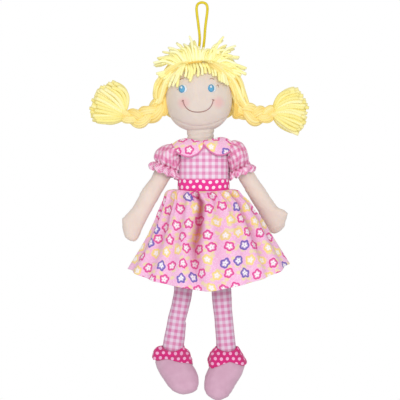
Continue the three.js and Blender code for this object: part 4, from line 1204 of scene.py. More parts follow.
def makeSleeve(name, way, arm):
    table = np.array([[*outer, *inner, depth] for outer, inner, depth in sleeves[name]])
    count = sleeves["rings"]
    outer, inner = along(table[:, :3], count), along(table[:, 2:], count)
    made = [sleeveRing(way, i / (count - 1), outer[i][:2], inner[i][:2], inner[i][2]) for i in range(count)]
    rows = np.array([row for row, _ in made])
    turn = math.radians(sleeves["turnBack"][name])
    shoulderZ, reach = sleeves["turnFrom"]
    under = shoulderZ - rows[..., 2]
    back = under * math.tan(turn) * np.clip(under / reach, 0, 1)  # the sleeve goes back with the arm
    rows[..., 1] += back
    rows = laidOn(rows, (arm,), sleeves["clear"])
    flat = flatMap(rows)
    slant = math.radians(sleeves["grain"]) * way
    u, v, cosine, sine = flat[..., 0], flat[..., 1], math.cos(slant), math.sin(slant)
    flat = np.stack([u * cosine - v * sine, u * sine + v * cosine], axis=2)
    paintedShade = [own for _, own in made]
    piece, area = sewn(f"{name}_puff_sleeve", rows, flat, True, sleeves["wall"], paintedShade)
    finished(piece, "sleeves", None, f"{name}_sleeve", f"{name}_sleeve_elastic")
    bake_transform(piece)
    high = sleeves["height"]
    area / high


# Stuffed parts: the filling's own shape, blown out a little as cloth
stuffing = {
    "voxel": 2.8,
    "pressure": 4.0,
    "quality": 6,
    "most": 1.6,
    "least": 1.0,
    "quick": 1.2,  # how far the cloth stands out in place of the pressure; the cloth run below always replaces it
    "frames": 20,
    "inside": 1.3,
}


def stuffed(name, source):
    node = frame["nodes"][source]
    piece = placed(name, node.data.copy())
    piece.data.transform(node.matrix_world)
    applied(piece, "REMESH", mode="VOXEL", voxel_size=stuffing["voxel"] * mm)
    applied(piece, "SMOOTH", factor=0.5, iterations=1)
    start = np.array([v.co for v in piece.data.vertices])
    normals = np.array([v.normal for v in piece.data.vertices])
    out = np.full(len(start), stuffing["quick"] * mm)
    pick(piece)
    change = piece.modifiers.new("Cloth", "CLOTH")
    change.settings.quality = stuffing["quality"]
    change.settings.use_pressure = True
    change.settings.uniform_pressure_force = stuffing["pressure"]
    change.settings.effector_weights.gravity = 0
    change.point_cache.frame_start = 1
    change.point_cache.frame_end = stuffing["frames"]
    for step in range(1, stuffing["frames"] + 1):
        bpy.context.scene.frame_set(step)
    bpy.ops.object.modifier_apply(modifier=change.name)
    bpy.context.scene.frame_set(1)
    moved = np.array([v.co for v in piece.data.vertices]) - start
    out = np.einsum("ij,ij->i", moved, normals)
    out = np.clip(out, stuffing["least"] * mm, stuffing["most"] * mm)
    piece.data.vertices.foreach_set("co", (start + normals * out[:, None]).ravel())
    applied(piece, "SMOOTH", factor=0.5, iterations=1)
    smoothed(piece, 1)
    inside = treeOf(node)
    for vertex in piece.data.vertices:  # the cloth stays outside its filling
        place, normal, _, _ = inside.find_nearest(vertex.co)
        lack = stuffing["least"] * mm - (vertex.co - place).dot(normal)
        if lack > 0:
            vertex.co += normal * lack
    applied(piece, "SMOOTH", factor=0.4, iterations=1)
    return softShade(piece)


def filled(cover, name, body, node):  # the filling keeps inside the cloth that was fitted over it
    filling = placed(name, cover.data.copy())
    shrink = stuffing["inside"] * mm
    for vertex in filling.data.vertices:
        vertex.co -= vertex.normal * shrink
    applied(filling, "DECIMATE", ratio=0.4)
    finished(filling, "filling", body, node)


def laidOn(rows, pieces, gap):  # cloth in millimetres keeps a gap from the pieces under it
    laid = rows.reshape(-1, 3).copy()
    for surface in [treeOf(piece) for piece in pieces]:
        for spot in laid:
            place, normal, _, _ = surface.find_nearest(Vector(spot) * mm)
            lack = gap - (Vector(spot) - place / mm).dot(normal)
            if lack > 0:
                spot[:] = tuple(place / mm + normal * gap)
    return laid.reshape(rows.shape)


def wrapMap(piece, origin, axis, front):  # a flat map around an axis, with its seam behind
    axis, front = Vector(axis).normalized(), Vector(front).normalized()
    side = axis.cross(front)
    layer = piece.data.uv_layers.new(name="clothMap")
    spots = []
    for vertex in piece.data.vertices:
        away = vertex.co - Vector(origin)
        x, y = away.dot(side), away.dot(front)
        spots.append((math.atan2(x, y), math.hypot(x, y), away.dot(axis)))
    radius = float(np.median([s[1] for s in spots]))
    for face in piece.data.polygons:
        first = spots[face.vertices[0]][0]
        for corner in face.loop_indices:
            angle, _, run = spots[piece.data.loops[corner].vertex_index]
            angle += 2 * math.pi * round((first - angle) / (2 * math.pi))
            layer.data[corner].uv = (angle * radius, run)


# Pixels of each limb's edges as the photograph shows them: left edge and right edge, from the top down
outlines = {
    "right_arm": ([(157, 167.9), (150.3, 178.5), (142.2, 189), (132.5, 207), (127.7, 212.9),
        (121.9, 218.6), (122.2, 227.1), (124.6, 237.1), (129.6, 240.9), (132.6, 241.6)], [(172.4, 171),
        (170.8, 177.9), (159.6, 197.1), (149.6, 214.5), (141.4, 231.4), (138.6, 238.6), (135.7, 241.4),
        (133, 241.6)]),
    "left_arm": ([(229, 163), (236.4, 175.7), (245.7, 191.4), (257.1, 210), (262.5, 220), (268.6, 230.6),
        (272, 233.4), (275, 234)], [(247.4, 163), (254.5, 172.9), (264.5, 187.1), (273, 200),
        (279.5, 208.0), (285.7, 210), (288.8, 213.4), (287.6, 218.6), (285.8, 222.4), (285.8, 226.0),
        (281.8, 231.0), (278.4, 233.4), (275.4, 234)]),
    "right_foot": ([(153, 350), (154.5, 359.6), (157.2, 368), (162.2, 376.4), (167.5, 384.1),
        (172.9, 389.2), (176.8, 391.9), (183.6, 392.6)], [(187, 352), (192.8, 364.2), (195.9, 368.8),
        (198.5, 374.9), (198.9, 381), (197.8, 387.5), (194.2, 390.6), (190.4, 392.1), (183.6, 392.6)]),
    "left_foot": ([(213, 354), (208.1, 368), (205, 374.9), (204.1, 381.8), (204.1, 387.1),
        (205.8, 392.5), (211.2, 397.1), (216.5, 399.4)], [(246, 354), (244.8, 365.7), (241.8, 374.1),
        (236.4, 382.5), (231.8, 390.2), (228, 395.2), (222.6, 398.4), (216.5, 399.4)]),
    "right_leg": ([(175.1, 280), (174.4, 287), (173.3, 295.3), (171.3, 305.2), (168.5, 315.2),
        (166.4, 326), (164.8, 333.6), (162.6, 345), (162.2, 352)], [(194.7, 280), (193.1, 287.7),
        (191.2, 299.1), (188.5, 310.6), (186, 319.2), (185.2, 321.3), (186.2, 323.2), (185.7, 329.7),
        (184.7, 339.7), (183.9, 346.6), (183.7, 352)]),
    "left_leg": ([(211.1, 280), (211.5, 290.7), (212.3, 303), (214.2, 316.7), (215, 327.4),
        (216.1, 341.2), (216.4, 352)], [(230.8, 280), (231.3, 289), (231.8, 300), (232, 309),
        (233, 318.3), (234.5, 333.6), (235.8, 345), (236.4, 352)]),
}
limbs = {  # fadeFrom: the pixel row above which the shape stays as it is
    "arm": {"cover": "arm_skin", "finish": "skin", "fadeFrom": 172, "full": False, "fill": 0.85},
    "leg": {"cover": "leg_cloth", "finish": "legs", "fadeFrom": 284, "full": True, "fill": 0.85},
    "foot": {"cover": "foot_cloth", "finish": "foot", "fadeFrom": 356, "full": False, "fill": 0.9},
    "levels": 90,
    "reach": 0.9,
    "fade": 6,
}
pivots = {joint["name"]: Vector(joint["pos_m"]) for joint in frame["record"]["behaviour"]["joints"]}


def fitOutline(piece, name, fadeFrom, full):  # full: the shape keeps its own lower end
    left, right = [np.array([tuple(fromPhoto(x, y)) for x, y in edge]) for edge in outlines[name]]
    places = np.array([v.co for v in piece.data.vertices])
    low = places[:, 2].min()
    top, goalLow = fromPhoto(0, fadeFrom).z, low if full else left[-1, 2]
    under = places[:, 2] < top
    places[under, 2] = top + (places[under, 2] - top) * (goalLow - top) / (low - top)
    levels = np.linspace(goalLow, places[:, 2].max(), limbs["levels"])
    ends = []
    for z in levels:
        near = places[np.abs(places[:, 2] - z) < limbs["reach"] * mm]
        ends.append((near[:, 0].min(), near[:, 0].max()) if len(near) else ends[-1])
    ends = np.array(ends)
    low, high = [np.interp(places[:, 2], levels, ends[:, k]) for k in (0, 1)]
    goalLow, goalHigh = [np.interp(places[:, 2], edge[::-1, 2], edge[::-1, 0]) for edge in (left, right)]
    share = (places[:, 0] - low) / np.maximum(high - low, 0.01 * mm)
    fitted = goalLow + (goalHigh - goalLow) * share
    fade = limbs["fade"] * mm
    blend = np.clip((top + fade - places[:, 2]) / (2 * fade), 0, 1)
    places[:, 0] += (fitted - places[:, 0]) * blend
    piece.data.vertices.foreach_set("co", places.ravel())
    applied(piece, "SMOOTH", factor=0.4, iterations=2)


def makeLimb(name, kind):
    made, body = limbs[kind], f"{name}_{kind}"
    piece = stuffed(f"{name}_{made['cover']}", f"{body}_stuffing")
    fitOutline(piece, body, made["fadeFrom"], made["full"])
    filled(piece, f"{body}_filling", body, f"{body}_stuffing")
    if kind == "leg":
        hip, ankle = pivots[f"{name}_hip_swing"], pivots[f"{name}_ankle"]
        wrapMap(piece, ankle, hip - ankle, (0, -1, 0))
    finished(piece, made["finish"], body, f"{body}_cover")
    return piece


# Ankle ruffles: angle, reach and height of the hem around each ankle
ruffles = {
    "right": {"x": -29.4, "top": (-346.8, 5.0), "hem": [(0, 19.6, -355, 0.1), (45, 17, -357, 0.6),
        (90, 17.5, -355, 0.8), (135, 17, -357, 1), (180, 20.4, -353.6, 0.85), (200, 20.4, -355.6, 1),
        (225, 19.4, -356.2, 0.9), (250, 18.6, -355.4, 0.8), (270, 18.8, -357, 0.7),
        (290, 20.4, -360.6, 0.5), (315, 22.2, -362, 0.3), (338, 21.8, -360.4, 0.1)]},
    "left": {"x": 25.2, "top": (-347.2, 5.0), "hem": [(0, 19.8, -357, 0.0), (45, 17, -358, 0.6),
        (90, 17.5, -356, 0.8), (135, 17, -358, 0.8), (180, 20.0, -355.4, 0.35), (205, 20.6, -360.4, 0.4),
        (232, 21.6, -365, 0.6), (252, 19.4, -361.6, 0.7), (275, 17.8, -357.6, 0.7),
        (295, 18.8, -359.4, 0.5), (320, 20.6, -361.4, 0.1), (342, 20.8, -359.2, 0.0)]},
    "throat": 10.2,
    "cone": 15.4,
    "ease": 0.9,
    "flatDepth": 0.95,
    "rise": 2.4,
    "facing": (50, 100),  # degrees from the front where the dots start, and end, to turn with the ring
    "clear": 1.0,
    "columns": 120,
    "levels": 22,
    "ripple": (11, 0.6, 0.35),  # number, height, and the share of it at the hem
    "drift": (2, 3),
    "blend": (-4, -18),
    "wall": 0.5,
    "height": 0.022,  # metres, of the flat cloth
}


def rufflePoint(made, table, angle, t):  # t goes from the ankle, 0, down to the hem, 1
    a = math.radians(angle)
    reach, low, puff = [float(np.interp(angle % 360, table[:, 0], table[:, k])) for k in (1, 2, 3)]
    dip, rise = made["top"]
    high = dip + rise * (1 - max(0.0, -math.sin(a)) ** 1.5)
    spread = puff * math.sin(t * math.pi / 2) ** 0.8 + (1 - puff) * t
    r = ruffles["throat"] + (reach - ruffles["throat"]) * spread
    z = high + (low - high) * t ** (1 + 0.2 * puff) + ruffles["rise"] * puff * math.sin(math.pi * t)
    count, size, least = ruffles["ripple"]
    often, strong = ruffles["drift"]
    drift = noise.noise(Vector((math.cos(a) * often, math.sin(a) * often, made["x"]))) * strong
    r += math.sin(a * count + drift) * size * (least + (1 - least) * (1 - t))
    return (made["x"] + r * math.cos(a), r * math.sin(a) * ruffles["flatDepth"], z)


def makeRuffle(name, leg, foot):
    made = ruffles[name]
    table = np.array(made["hem"] + [(made["hem"][0][0] + 360, *made["hem"][0][1:])])
    angles = np.linspace(90, 450, ruffles["columns"], endpoint=False)  # it starts and ends behind
    levels = np.linspace(0, 1, ruffles["levels"])
    rows = np.array([[rufflePoint(made, table, angle, t) for angle in angles] for t in levels])
    rows = laidOn(rows, (leg, foot), ruffles["clear"])
    flat = flatMap(rows)
    closed = np.concatenate([rows, rows[:, :1]], axis=1)
    around, middle = np.append(angles, 450), ruffles["columns"] // 2
    under = closed[0, :, 2] - closed[..., 2]
    front = abs(np.sin(np.radians(around)))
    reach = ruffles["cone"] - flat[..., 1] * (1 - front) + under * front  # the cloth is cut as a ring
    turn = flat[-1, :, 0] * ruffles["ease"] / reach[-1].mean()
    turn -= turn[middle]
    ring = np.stack([reach * np.sin(turn), -reach * np.cos(turn)], axis=2)
    near, far = ruffles["facing"]
    facing = np.clip((far - abs(around - 270)) / (far - near), 0, 1)
    facing = (facing * facing * (3 - 2 * facing))[None, :, None]
    levelZ = closed[..., 2] - closed[0, middle, 2] - ruffles["cone"]
    level = np.stack([closed[..., 0] - made["x"], levelZ], axis=2)
    flat = ring * (1 - facing) + level * facing
    piece, area = sewn(f"{name}_ruffle_cloth", rows, flat, True, ruffles["wall"])
    finished(piece, "ruffle", None, f"{name}_ankle_ruffle")
    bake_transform(piece)
    high = ruffles["height"]
    under = [f"{name}_leg_cloth", f"{name}_foot_cloth"]
    area / high


for name, way in sides.items():
    arm, leg, foot = [makeLimb(name, kind) for kind in ("arm", "leg", "foot")]
    makeSleeve(name, way, arm)
    makeRuffle(name, leg, foot)
tell("limbs are stuffed and dressed")


# Hair: the yarn lies from the parting to a bunch at each side
hair = {"thickness": 2.9, "seed": 7}
dice = random.Random(hair["seed"])


def tonesFor(count, low, high):
    return [dice.uniform(low, high) for _ in range(count)]


cap = {
    "front": (0.0, -0.50, 0.86),
    "crown": (0, 0.2, 1),
    "crownShare": 0.35,
    "nape": (0.0, 0.86, -0.62),
    "side": (0.93, 0.22, -0.30),
    "sideFront": (0.94, -0.18, -0.26),
    "strands": 38,
    "steps": 30,
    "layers": [(0.6, 3.0), (2.4, 5.4)],  # how far each stands off the head at the parting and at the side
    "lift": 0.8,
    "pull": 0.72,  # share of its way after which a strand is drawn into the bunch
    "bunch": {"right": (-44.0, -0.5, -101.5), "left": (38.5, -0.5, -101.5)},
    "bunchSize": (9, 2.5),
    "pad": {"stand": (0.3, 1.6), "steps": 24, "rows": 48, "wall": 0.6},
}


def slerp(a, b, t):
    a, b = Vector(a).normalized(), Vector(b).normalized()
    angle = a.angle(b)
    return (a * math.sin((1 - t) * angle) + b * math.sin(t * angle)) / math.sin(angle)


def capPath(name, way, share, near, far, steps):
    crown, crownShare = cap["crown"], cap["crownShare"]
    if share < crownShare:
        ridge = slerp(cap["front"], crown, share / crownShare)
    else:
        ridge = slerp(crown, cap["nape"], (share - crownShare) / (1 - crownShare))
    end = Vector(cap["sideFront"]).lerp(Vector(cap["side"]), share)
    end.x *= way
    deep, high = cap["bunchSize"]
    bunch = np.array(cap["bunch"][name]) + (0, (share - 0.5) * deep, math.cos(share * math.pi) * high)
    places = []
    for t in np.linspace(0, 1, steps):
        stand = near + (far - near) * math.sin(t * math.pi / 2)
        place = np.array(onHead(slerp(ridge, end, t).normalized(), stand))
        pull = max(0.0, (t - cap["pull"]) / (1 - cap["pull"])) ** 1.6
        places.append(place * (1 - pull) + bunch * mm * pull)
    return np.array(places)


def makeCap():
    paths, sizes = [], []
    for name, way in sides.items():
        for layer, (near, far) in enumerate(cap["layers"]):
            for i in range(cap["strands"]):
                share = (i + 0.5 * layer + dice.uniform(-0.2, 0.2)) / cap["strands"]
                if share > 1 or share < 0:
                    continue
                lift = dice.uniform(0, cap["lift"])
                paths.append(capPath(name, way, share, near + lift, far + lift, cap["steps"]))
                sizes.append(hair["thickness"] * dice.uniform(0.92, 1.12))
    piece = yarn("hair_strands", paths, sizes, count=6, tones=tonesFor(len(paths), 0.3, 0.9))
    finished(piece, "hair", "head", "hair_cap")
    made = cap["pad"]
    for name, way in sides.items():  # a pad of yarn close to the head under the strands
        shares = np.linspace(0, 1, made["rows"])
        rows = [capPath(name, way, share, *made["stand"], made["steps"]) for share in shares[::-way]]
        rows = np.array(rows)
        pad = clothGrid(f"{name}_hair_pad", rows, flatMap(rows)[:, :-1], False, "yarnMap")
        finished(thick(pad, made["wall"]), "hair", "head")


makeCap()

# Locks beside the face, from the gather to behind the cheeks
locks = {
    "right": [(-13, -17.5, -61.2), (-23, -16.5, -65.4), (-31.6, -13.5, -71.2), (-37.6, -9, -79),
        (-41, -6, -86), (-42.4, -4.5, -91), (-42.6, -3, -95), (-45, -1.5, -99)],
    "left": [(5, -18.5, -61.2), (17, -16.8, -66), (27.6, -13, -72), (33.4, -8.5, -80), (36, -6, -88),
        (38.8, -4.5, -95), (41.4, -3, -100), (44, -1.5, -104)],
    "width": 6.0,
    "depth": 5.0,
    "count": 15,
    "turns": 0.12,
    "thickness": 3.0,
    "under": {"right": [(-37.5, -2, -88), (-36.6, -3, -96), (-36.4, -3.5, -104), (-37.4, -2.5, -109.6),
        (-43, -1, -108)], "left": [(31.5, -2, -90), (33.6, -3, -100), (33.2, -3.5, -108),
        (33.4, -2.5, -112.6), (39.5, -1, -111)]},
    "underSize": (1.9, 2.2),
    "underCount": 6,
    "underTurns": 0.1,
    "underThickness": 2.4,
}


ahead = np.array((0.0, -1.0, 0.0))


def lockSwell(t):
    return 0.36 + 0.68 * math.sin(math.pi * (0.10 + t * 0.84)) ** 0.8


def bundle(route, width, depth, count, turns, taper=None, steps=40):
    route = along(route, steps) * mm
    side, out = acrossRoute(directions(route), ahead)
    shares = np.linspace(0, 1, steps)
    sizes = np.array([taper(t) if taper else 1.0 for t in shares])
    paths = []
    for i in range(count):
        turn = 2 * math.pi * (i / count + turns * shares)
        size = (sizes * (1.0 if i % 4 else 0.45) * mm)[:, None]  # every fourth strand lies inside
        across = side * np.cos(turn)[:, None] * width + out * np.sin(turn)[:, None] * depth
        paths.append(route + across * size)
    return paths


def makeLocks():
    count, under = locks["count"], locks["underCount"]
    for name, way in sides.items():
        paths = bundle(locks[name], locks["width"], locks["depth"], count, locks["turns"] * way, lockSwell)
        paths += bundle(locks["under"][name], *locks["underSize"], under, locks["underTurns"] * way)
        sizes = [locks["thickness"]] * count + [locks["underThickness"]] * under
        # the strands under the locks get low, deep tones: painted shade behind the cheeks
        tones = tonesFor(count, 0.15, 1.0) + tonesFor(under, 0.05, 0.35)
        finished(yarn(f"{name}_side_locks", paths, sizes, tones=tones), "hair", "head", f"{name}_side_hair")


makeLocks()

# Plaits: pixels of each middle line, from the head to the tie
plaits = {
    "right": [(171.0, 97.0, 13), (163.0, 103.5, 3), (154.5, 111, 0), (146, 116.4, 0), (138, 118.4, 0),
        (130, 116.8, 0), (122.5, 114.4, 0)],
    "left": [(230, 100, 13), (239, 107.0, 3), (247.5, 112.4, 0), (255, 115.6, 0), (262, 115.6, 0),
        (269, 113.2, 0), (275, 111.8, 0)],
    "sizes": [0.9, 1.05, 1.12, 1.14, 1.08, 0.9, 0.62],
    "turns": 1.2,
    "start": 0.9,
    "swing": 4.3,
    "deep": 3.4,
    "strand": 4.9,
    "swell": (0.74, 0.38),
    "yarns": 10,
    "twist": 1.4,
    "thickness": 3.2,
    "steps": 90,
    "tie": {"back": 6, "turns": 3.2, "steps": 100, "length": 6.0, "radius": 4.6, "thickness": 2.0},
    "tieTone": 0.35,
}


def plaitYarns(middle, tight, way):  # the yarns of one strand: a thick one inside a ring of others
    side, out = acrossRoute(directions(middle), ahead)
    ring, steps = plaits["yarns"] - 1, plaits["steps"]
    reach = ((plaits["strand"] - plaits["thickness"] * 0.45) * tight * mm)[:, None]
    paths = []
    for i in range(ring):
        turn = 2 * math.pi * i / ring + plaits["twist"] * np.arange(steps) / steps * way
        paths.append(middle + (side * np.cos(turn)[:, None] + out * np.sin(turn)[:, None]) * reach)
    return paths + [middle], [plaits["thickness"]] * ring + [plaits["thickness"] * 1.9]


def makePlait(name, way):
    route = np.array([fromPhoto(*place) for place in along(plaits[name], plaits["steps"])])
    run = directions(route)
    up = np.cross(run, -ahead)
    shares = np.linspace(0, 1, plaits["steps"])
    size = np.interp(shares, np.linspace(0, 1, len(plaits["sizes"])), plaits["sizes"])
    least, more = plaits["swell"]
    paths, sizes = [], []
    for strand in range(3):
        phase = 2 * math.pi * (plaits["turns"] * shares + strand / 3) + plaits["start"]
        swing = up * (plaits["swing"] * np.sin(phase) * size * mm)[:, None]
        middle = route + swing + ahead * (plaits["deep"] * np.sin(2 * phase) * size * mm)[:, None]
        yarns, thickness = plaitYarns(middle, size * (least + more * abs(np.sin(phase)) ** 5), way)
        paths += yarns
        sizes += thickness
    piece = yarn(f"{name}_plait_strands", paths, sizes, tones=tonesFor(len(paths), 0.45, 0.85))
    finished(piece, "plaits", f"{name}_plait", f"{name}_plait")
    tie = plaits["tie"]
    back = -tie["back"]
    coil = []
    for t in np.linspace(0, 1, tie["steps"]):
        a = 2 * math.pi * tie["turns"] * t
        around = (up[back] * math.cos(a) + ahead * math.sin(a)) * tie["radius"]
        coil.append(route[back] + (run[back] * (t - 0.5) * tie["length"] + around) * mm)
    piece = yarn(f"{name}_plait_binding", [coil], tie["thickness"], count=8, tones=plaits["tieTone"])
    finished(piece, "plaits", f"{name}_plait", f"{name}_plait_tie")


# Loose ends of the plaits: root, control and tip of strands from one edge of the fan to the other, in pixels
tails = {
    "right": {"root": [(125.5, 110.0), (122.8, 118.5)], "turn": [(133, 90), (124, 92), (114, 98),
        (108, 105), (108, 111), (110, 118), (113, 126)], "tip": [(115.5, 80.6), (104.5, 83.4),
        (96.4, 87.8), (91.6, 97), (89.6, 107), (89.4, 117), (95.5, 122)]},
    "left": {"root": [(274, 107.5), (274, 116.5)], "turn": [(278, 90), (284, 95), (288, 100), (290, 106),
        (289, 112), (286, 120), (279, 128)], "tip": [(294.5, 87.4), (302, 91.0), (305.8, 99),
        (309.5, 106), (307.5, 115), (307.5, 122), (303, 130), (298.5, 135.5)]},
    "count": 56,
    "deep": 7.5,
    "rootDeep": 3.4,
    "squeeze": 0.22,
    "step": 0.618,  # steps by this share of the depth spread evenly
    "level": 0.9,
    "wobble": 0.9,
    "thickness": 3.8,
}


def makeTail(name, way):
    made = tails[name]
    turns, tips = alongPixels(made["turn"], 101), alongPixels(made["tip"], 101)
    paths = []
    for i in range(tails["count"]):
        t = (i + dice.uniform(-0.4, 0.4)) / (tails["count"] - 1)
        k = int(min(max(t, 0), 1) * 100)
        level = tails["level"] * (2 * (i * tails["step"] % 1.0) - 1)
        spread = tails["deep"] * level
        squeeze = 1 - tails["squeeze"] * level * level
        (highX, highY), (lowX, lowY) = made["root"]
        root = fromPhoto(highX + (lowX - highX) * t, highY + (lowY - highY) * t, level * tails["rootDeep"])
        tip = fromPhoto(*tips[k], spread + dice.uniform(-1, 1))
        tip = root + (tip - root) * dice.uniform(0.93, 1.0) * squeeze
        bend = root + (fromPhoto(*turns[k], spread) - root) * (0.75 + 0.25 * squeeze)
        path = []
        for s in np.linspace(0, 1, 18):
            wobble = noise.noise(Vector((i * 3.1, s * 2.0, way * 7))) * tails["wobble"] * s * mm
            place = root * (1 - s) ** 2 + bend * 2 * s * (1 - s) + tip * s * s
            path.append(place + Vector((wobble, wobble, wobble)))
        paths.append(path)
    tones = tonesFor(len(paths), 0.35, 1.0)
    piece = yarn(f"{name}_tail_strands", paths, tails["thickness"], ends=0.85, tones=tones, shade=0.3)
    finished(piece, "tails", f"{name}_plait", f"{name}_plait_tail")


for name, way in sides.items():
    makePlait(name, way)
    makeTail(name, way)
tell("plaits are braided")

# The gathered tuft over the forehead: pixels of its ridge and tips
tuft = {
    "ridge": [(177, 69.5), (183, 66.4), (188, 64.4), (193, 63.2), (198, 62.8), (203, 62.8), (208, 63.4),
        (213.5, 65.2), (219, 68)],
    "tips": [(154.0, 66.0), (153.8, 63.4), (157.7, 58.6), (162.8, 52.1), (167.9, 48.6), (176.8, 43.4),
        (184, 44.5), (189.5, 37.0), (194, 41.5), (198.5, 47.5), (203.5, 48.5), (209.5, 50.0),
        (215.5, 49.5), (223.8, 37.6), (224.0, 51), (226.5, 45.7), (228, 55), (235.5, 46.8), (232, 57),
        (239.3, 58.0), (236, 65), (246.3, 69.4), (243, 73), (246.3, 75.4)],
    "count": 128,
    "thickness": 2.5,
    "seam": [(184.2, 67.6), (188, 66.2), (194, 65.0), (201.5, 64.6)],
    "fringe": [[(184.0, 67.4), (179.4, 76), (177.3, 88.4)], [(186, 66.6), (186.6, 72), (185.4, 78.5)],
        [(188.4, 66), (189.8, 73), (188.4, 80)], [(190.8, 65.4), (192.2, 74), (190.0, 83)], [(193.6, 65),
        (194.8, 70), (193.8, 75.8)], [(196.4, 64.8), (198.4, 71), (198.0, 78.0)], [(199.4, 64.6),
        (202.0, 70), (202.4, 76.5)], [(202.4, 64.6), (205.0, 69), (205.6, 74.8)], [(205.4, 65),
        (208.4, 69), (210, 75)], [(208, 65.4), (211.6, 70), (213.6, 77.5)]],
    "sweeps": [[(182.5, 64), (176, 72), (168.9, 88.2)], [(183.5, 64.4), (178.4, 74), (173.0, 87.4)],
        [(181, 64), (173, 71.5), (166.4, 84.5)], [(179, 64), (170.5, 71), (165, 80)], [(184.4, 65),
        (180.0, 74), (175.2, 84.5)], [(185.2, 65), (182.6, 71), (180.9, 77)], [(182.8, 64.2),
        (177.4, 71), (171.4, 83.0)], [(211, 62), (217.5, 70), (219.4, 82.5)], [(212.6, 62.4),
        (220.6, 71), (224.4, 84.4)], [(213.6, 63), (222.4, 72), (227.8, 86.2)], [(210, 62), (214, 69),
        (216.0, 77.5)], [(214.6, 63.4), (225.5, 72.5), (230.4, 83.5)], [(212, 62), (218.8, 70),
        (221.6, 83.6)], [(213.2, 62.6), (222, 71), (226.0, 85.6)]],
    "runs": [[(183, 65.5), (169, 73), (157.5, 88), (157, 101)], [(183.5, 66), (171.5, 75), (160, 90),
        (159, 103)], [(184, 66), (174.5, 76), (162.8, 88), (160.5, 101)], [(182.5, 65), (166.5, 71.5),
        (155.8, 84), (155, 98)], [(211, 64), (227, 73), (239, 90), (241, 106)], [(210.5, 64.5),
        (224.5, 75), (236.2, 92), (238.6, 108)], [(209, 65), (221.5, 76), (233.4, 91), (236, 107)],
        [(212, 63.6), (230, 71.5), (241.2, 86), (243, 102)]],
    "flanks": [[(184, 64.6), (172, 69), (158.4, 75.6)], [(184, 65), (171.5, 71), (160.4, 77)],
        [(184.6, 65.4), (173, 72), (163.2, 79.4)], [(183, 64), (171, 67.4), (156.4, 72.6)], [(185, 65),
        (175, 70.6), (166.8, 80.6)], [(213, 62.4), (228, 67.4), (241, 75)], [(213, 63), (226, 69.8),
        (235, 77.6)], [(214, 62), (230, 65.8), (246, 72.8)], [(212, 63), (223, 70.2), (230.6, 79)]],
    "middle": 199.5,
    "spread": 0.42,
    "rootStand": 0.6,
    "seamStand": 2.0,
    "seamShade": (2.4, -0.1),  # thickness and tone of a strand along the seam, deep-toned as painted shade under the ridge
    "faceEdges": (167.5, 230.5),
    "wobble": 0.8,
    "step": 0.6180339,  # steps by this share of the way spread evenly
    "rise": (3.4, 2.6, 1.2),  # how far a strand comes forward and up at its root, and less up at the flanks
    "arch": (5.0, 1.5),
    "shell": (2.6, 2.5),  # how far a strand stands off the head at least, and how unevenly
    "fringeArch": (1.8, 2.5, 2.4),  # height, and place and width along the strand's 16 places
    "fringeTuck": 1.6,
}
# Strands over the face: their stand off it at the root and at the tip, and thickness
overFace = {
    "temple": {
        "strands": [("runs", 7.6, -6.0, 3.0)],
        "finish": "hair", "tones": (0.3, 1.0), "shade": 0.3, "nodes": [],
    },
    "fringe": {
        "strands": [("flanks", 7.6, 7.6, 2.8), ("sweeps", 6.6, 6.6, 2.8), ("fringe", 2.4, 2.4, 2.9)],
        "finish": "tips", "tones": (0.5, 1.0), "shade": 0.7, "nodes": ["fringe"],
    },
}


def tuftPath(i, tips, ridge):  # the first strands go to the tips in turn, and the others fill up between
    sharp = tuft["tips"]
    if i < 2 * len(sharp):
        x, y = sharp[i // 2]
        t = (i // 2) / (len(sharp) - 1)
        reach = 1.0 if i % 2 == 0 else dice.uniform(0.9, 0.97)
    else:
        t = (i * tuft["step"]) % 1.0
        x, y = tips[int(t * 400)]
        reach = dice.uniform(0.62, 0.86)
    deep = dice.uniform(-12, 15) if i % 2 else dice.uniform(-20, -6)
    rootX = tuft["middle"] + (x - tuft["middle"]) * tuft["spread"] + dice.uniform(-2.5, 2.5)
    first, last = tuft["ridge"][0][0], tuft["ridge"][-1][0]
    place = min(max((rootX - first) / (last - first), 0), 1)
    root = onFace(*ridge[int(place * 100)], tuft["rootStand"])
    tip = fromPhoto(x, y)
    tip = Vector((root.x + (tip.x - root.x) * reach, deep * mm, root.z + (tip.z - root.z) * reach))
    flank = abs(t - 0.5) * 2
    forward, up, less = tuft["rise"]
    lift = root + Vector(((tip.x - root.x) * 0.12, (deep * 0.05 - forward) * mm, (up - less * flank) * mm))
    middle = root.lerp(tip, 0.52)
    middle.z += (tuft["arch"][0] - tuft["arch"][1] * flank) * mm
    middle.y = (root.y - 3 * mm + tip.y) / 2
    away = middle - headMiddle
    shell = onHead(away.normalized(), tuft["shell"][0] + dice.uniform(0, tuft["shell"][1]))
    if away.length < (shell - headMiddle).length:
        middle = shell
    path = along([root, lift, middle, tip], 16)
    wobble = [noise.noise(Vector((i * 1.7, k * 0.2, 3))) * k / len(path) for k in range(len(path))]
    return path + np.array(wobble)[:, None] * tuft["wobble"] * mm


def fringePath(pixels, near, far, number):
    edges, path = tuft["faceEdges"], []
    high, where, wide = tuft["fringeArch"]
    for k, (x, y) in enumerate(alongPixels(pixels, 16)):
        arch = high * bell((k - where) / wide) - tuft["fringeTuck"] * (k == 0)
        stand = near + (far - near) * (k / 15) ** 2 + arch + (number % 3) * 0.5
        place = onFace(min(max(x, edges[0]), edges[1]), y, 0)
        path.append((fromPhoto(x, y).x, place.y - stand * mm, place.z))
    return path


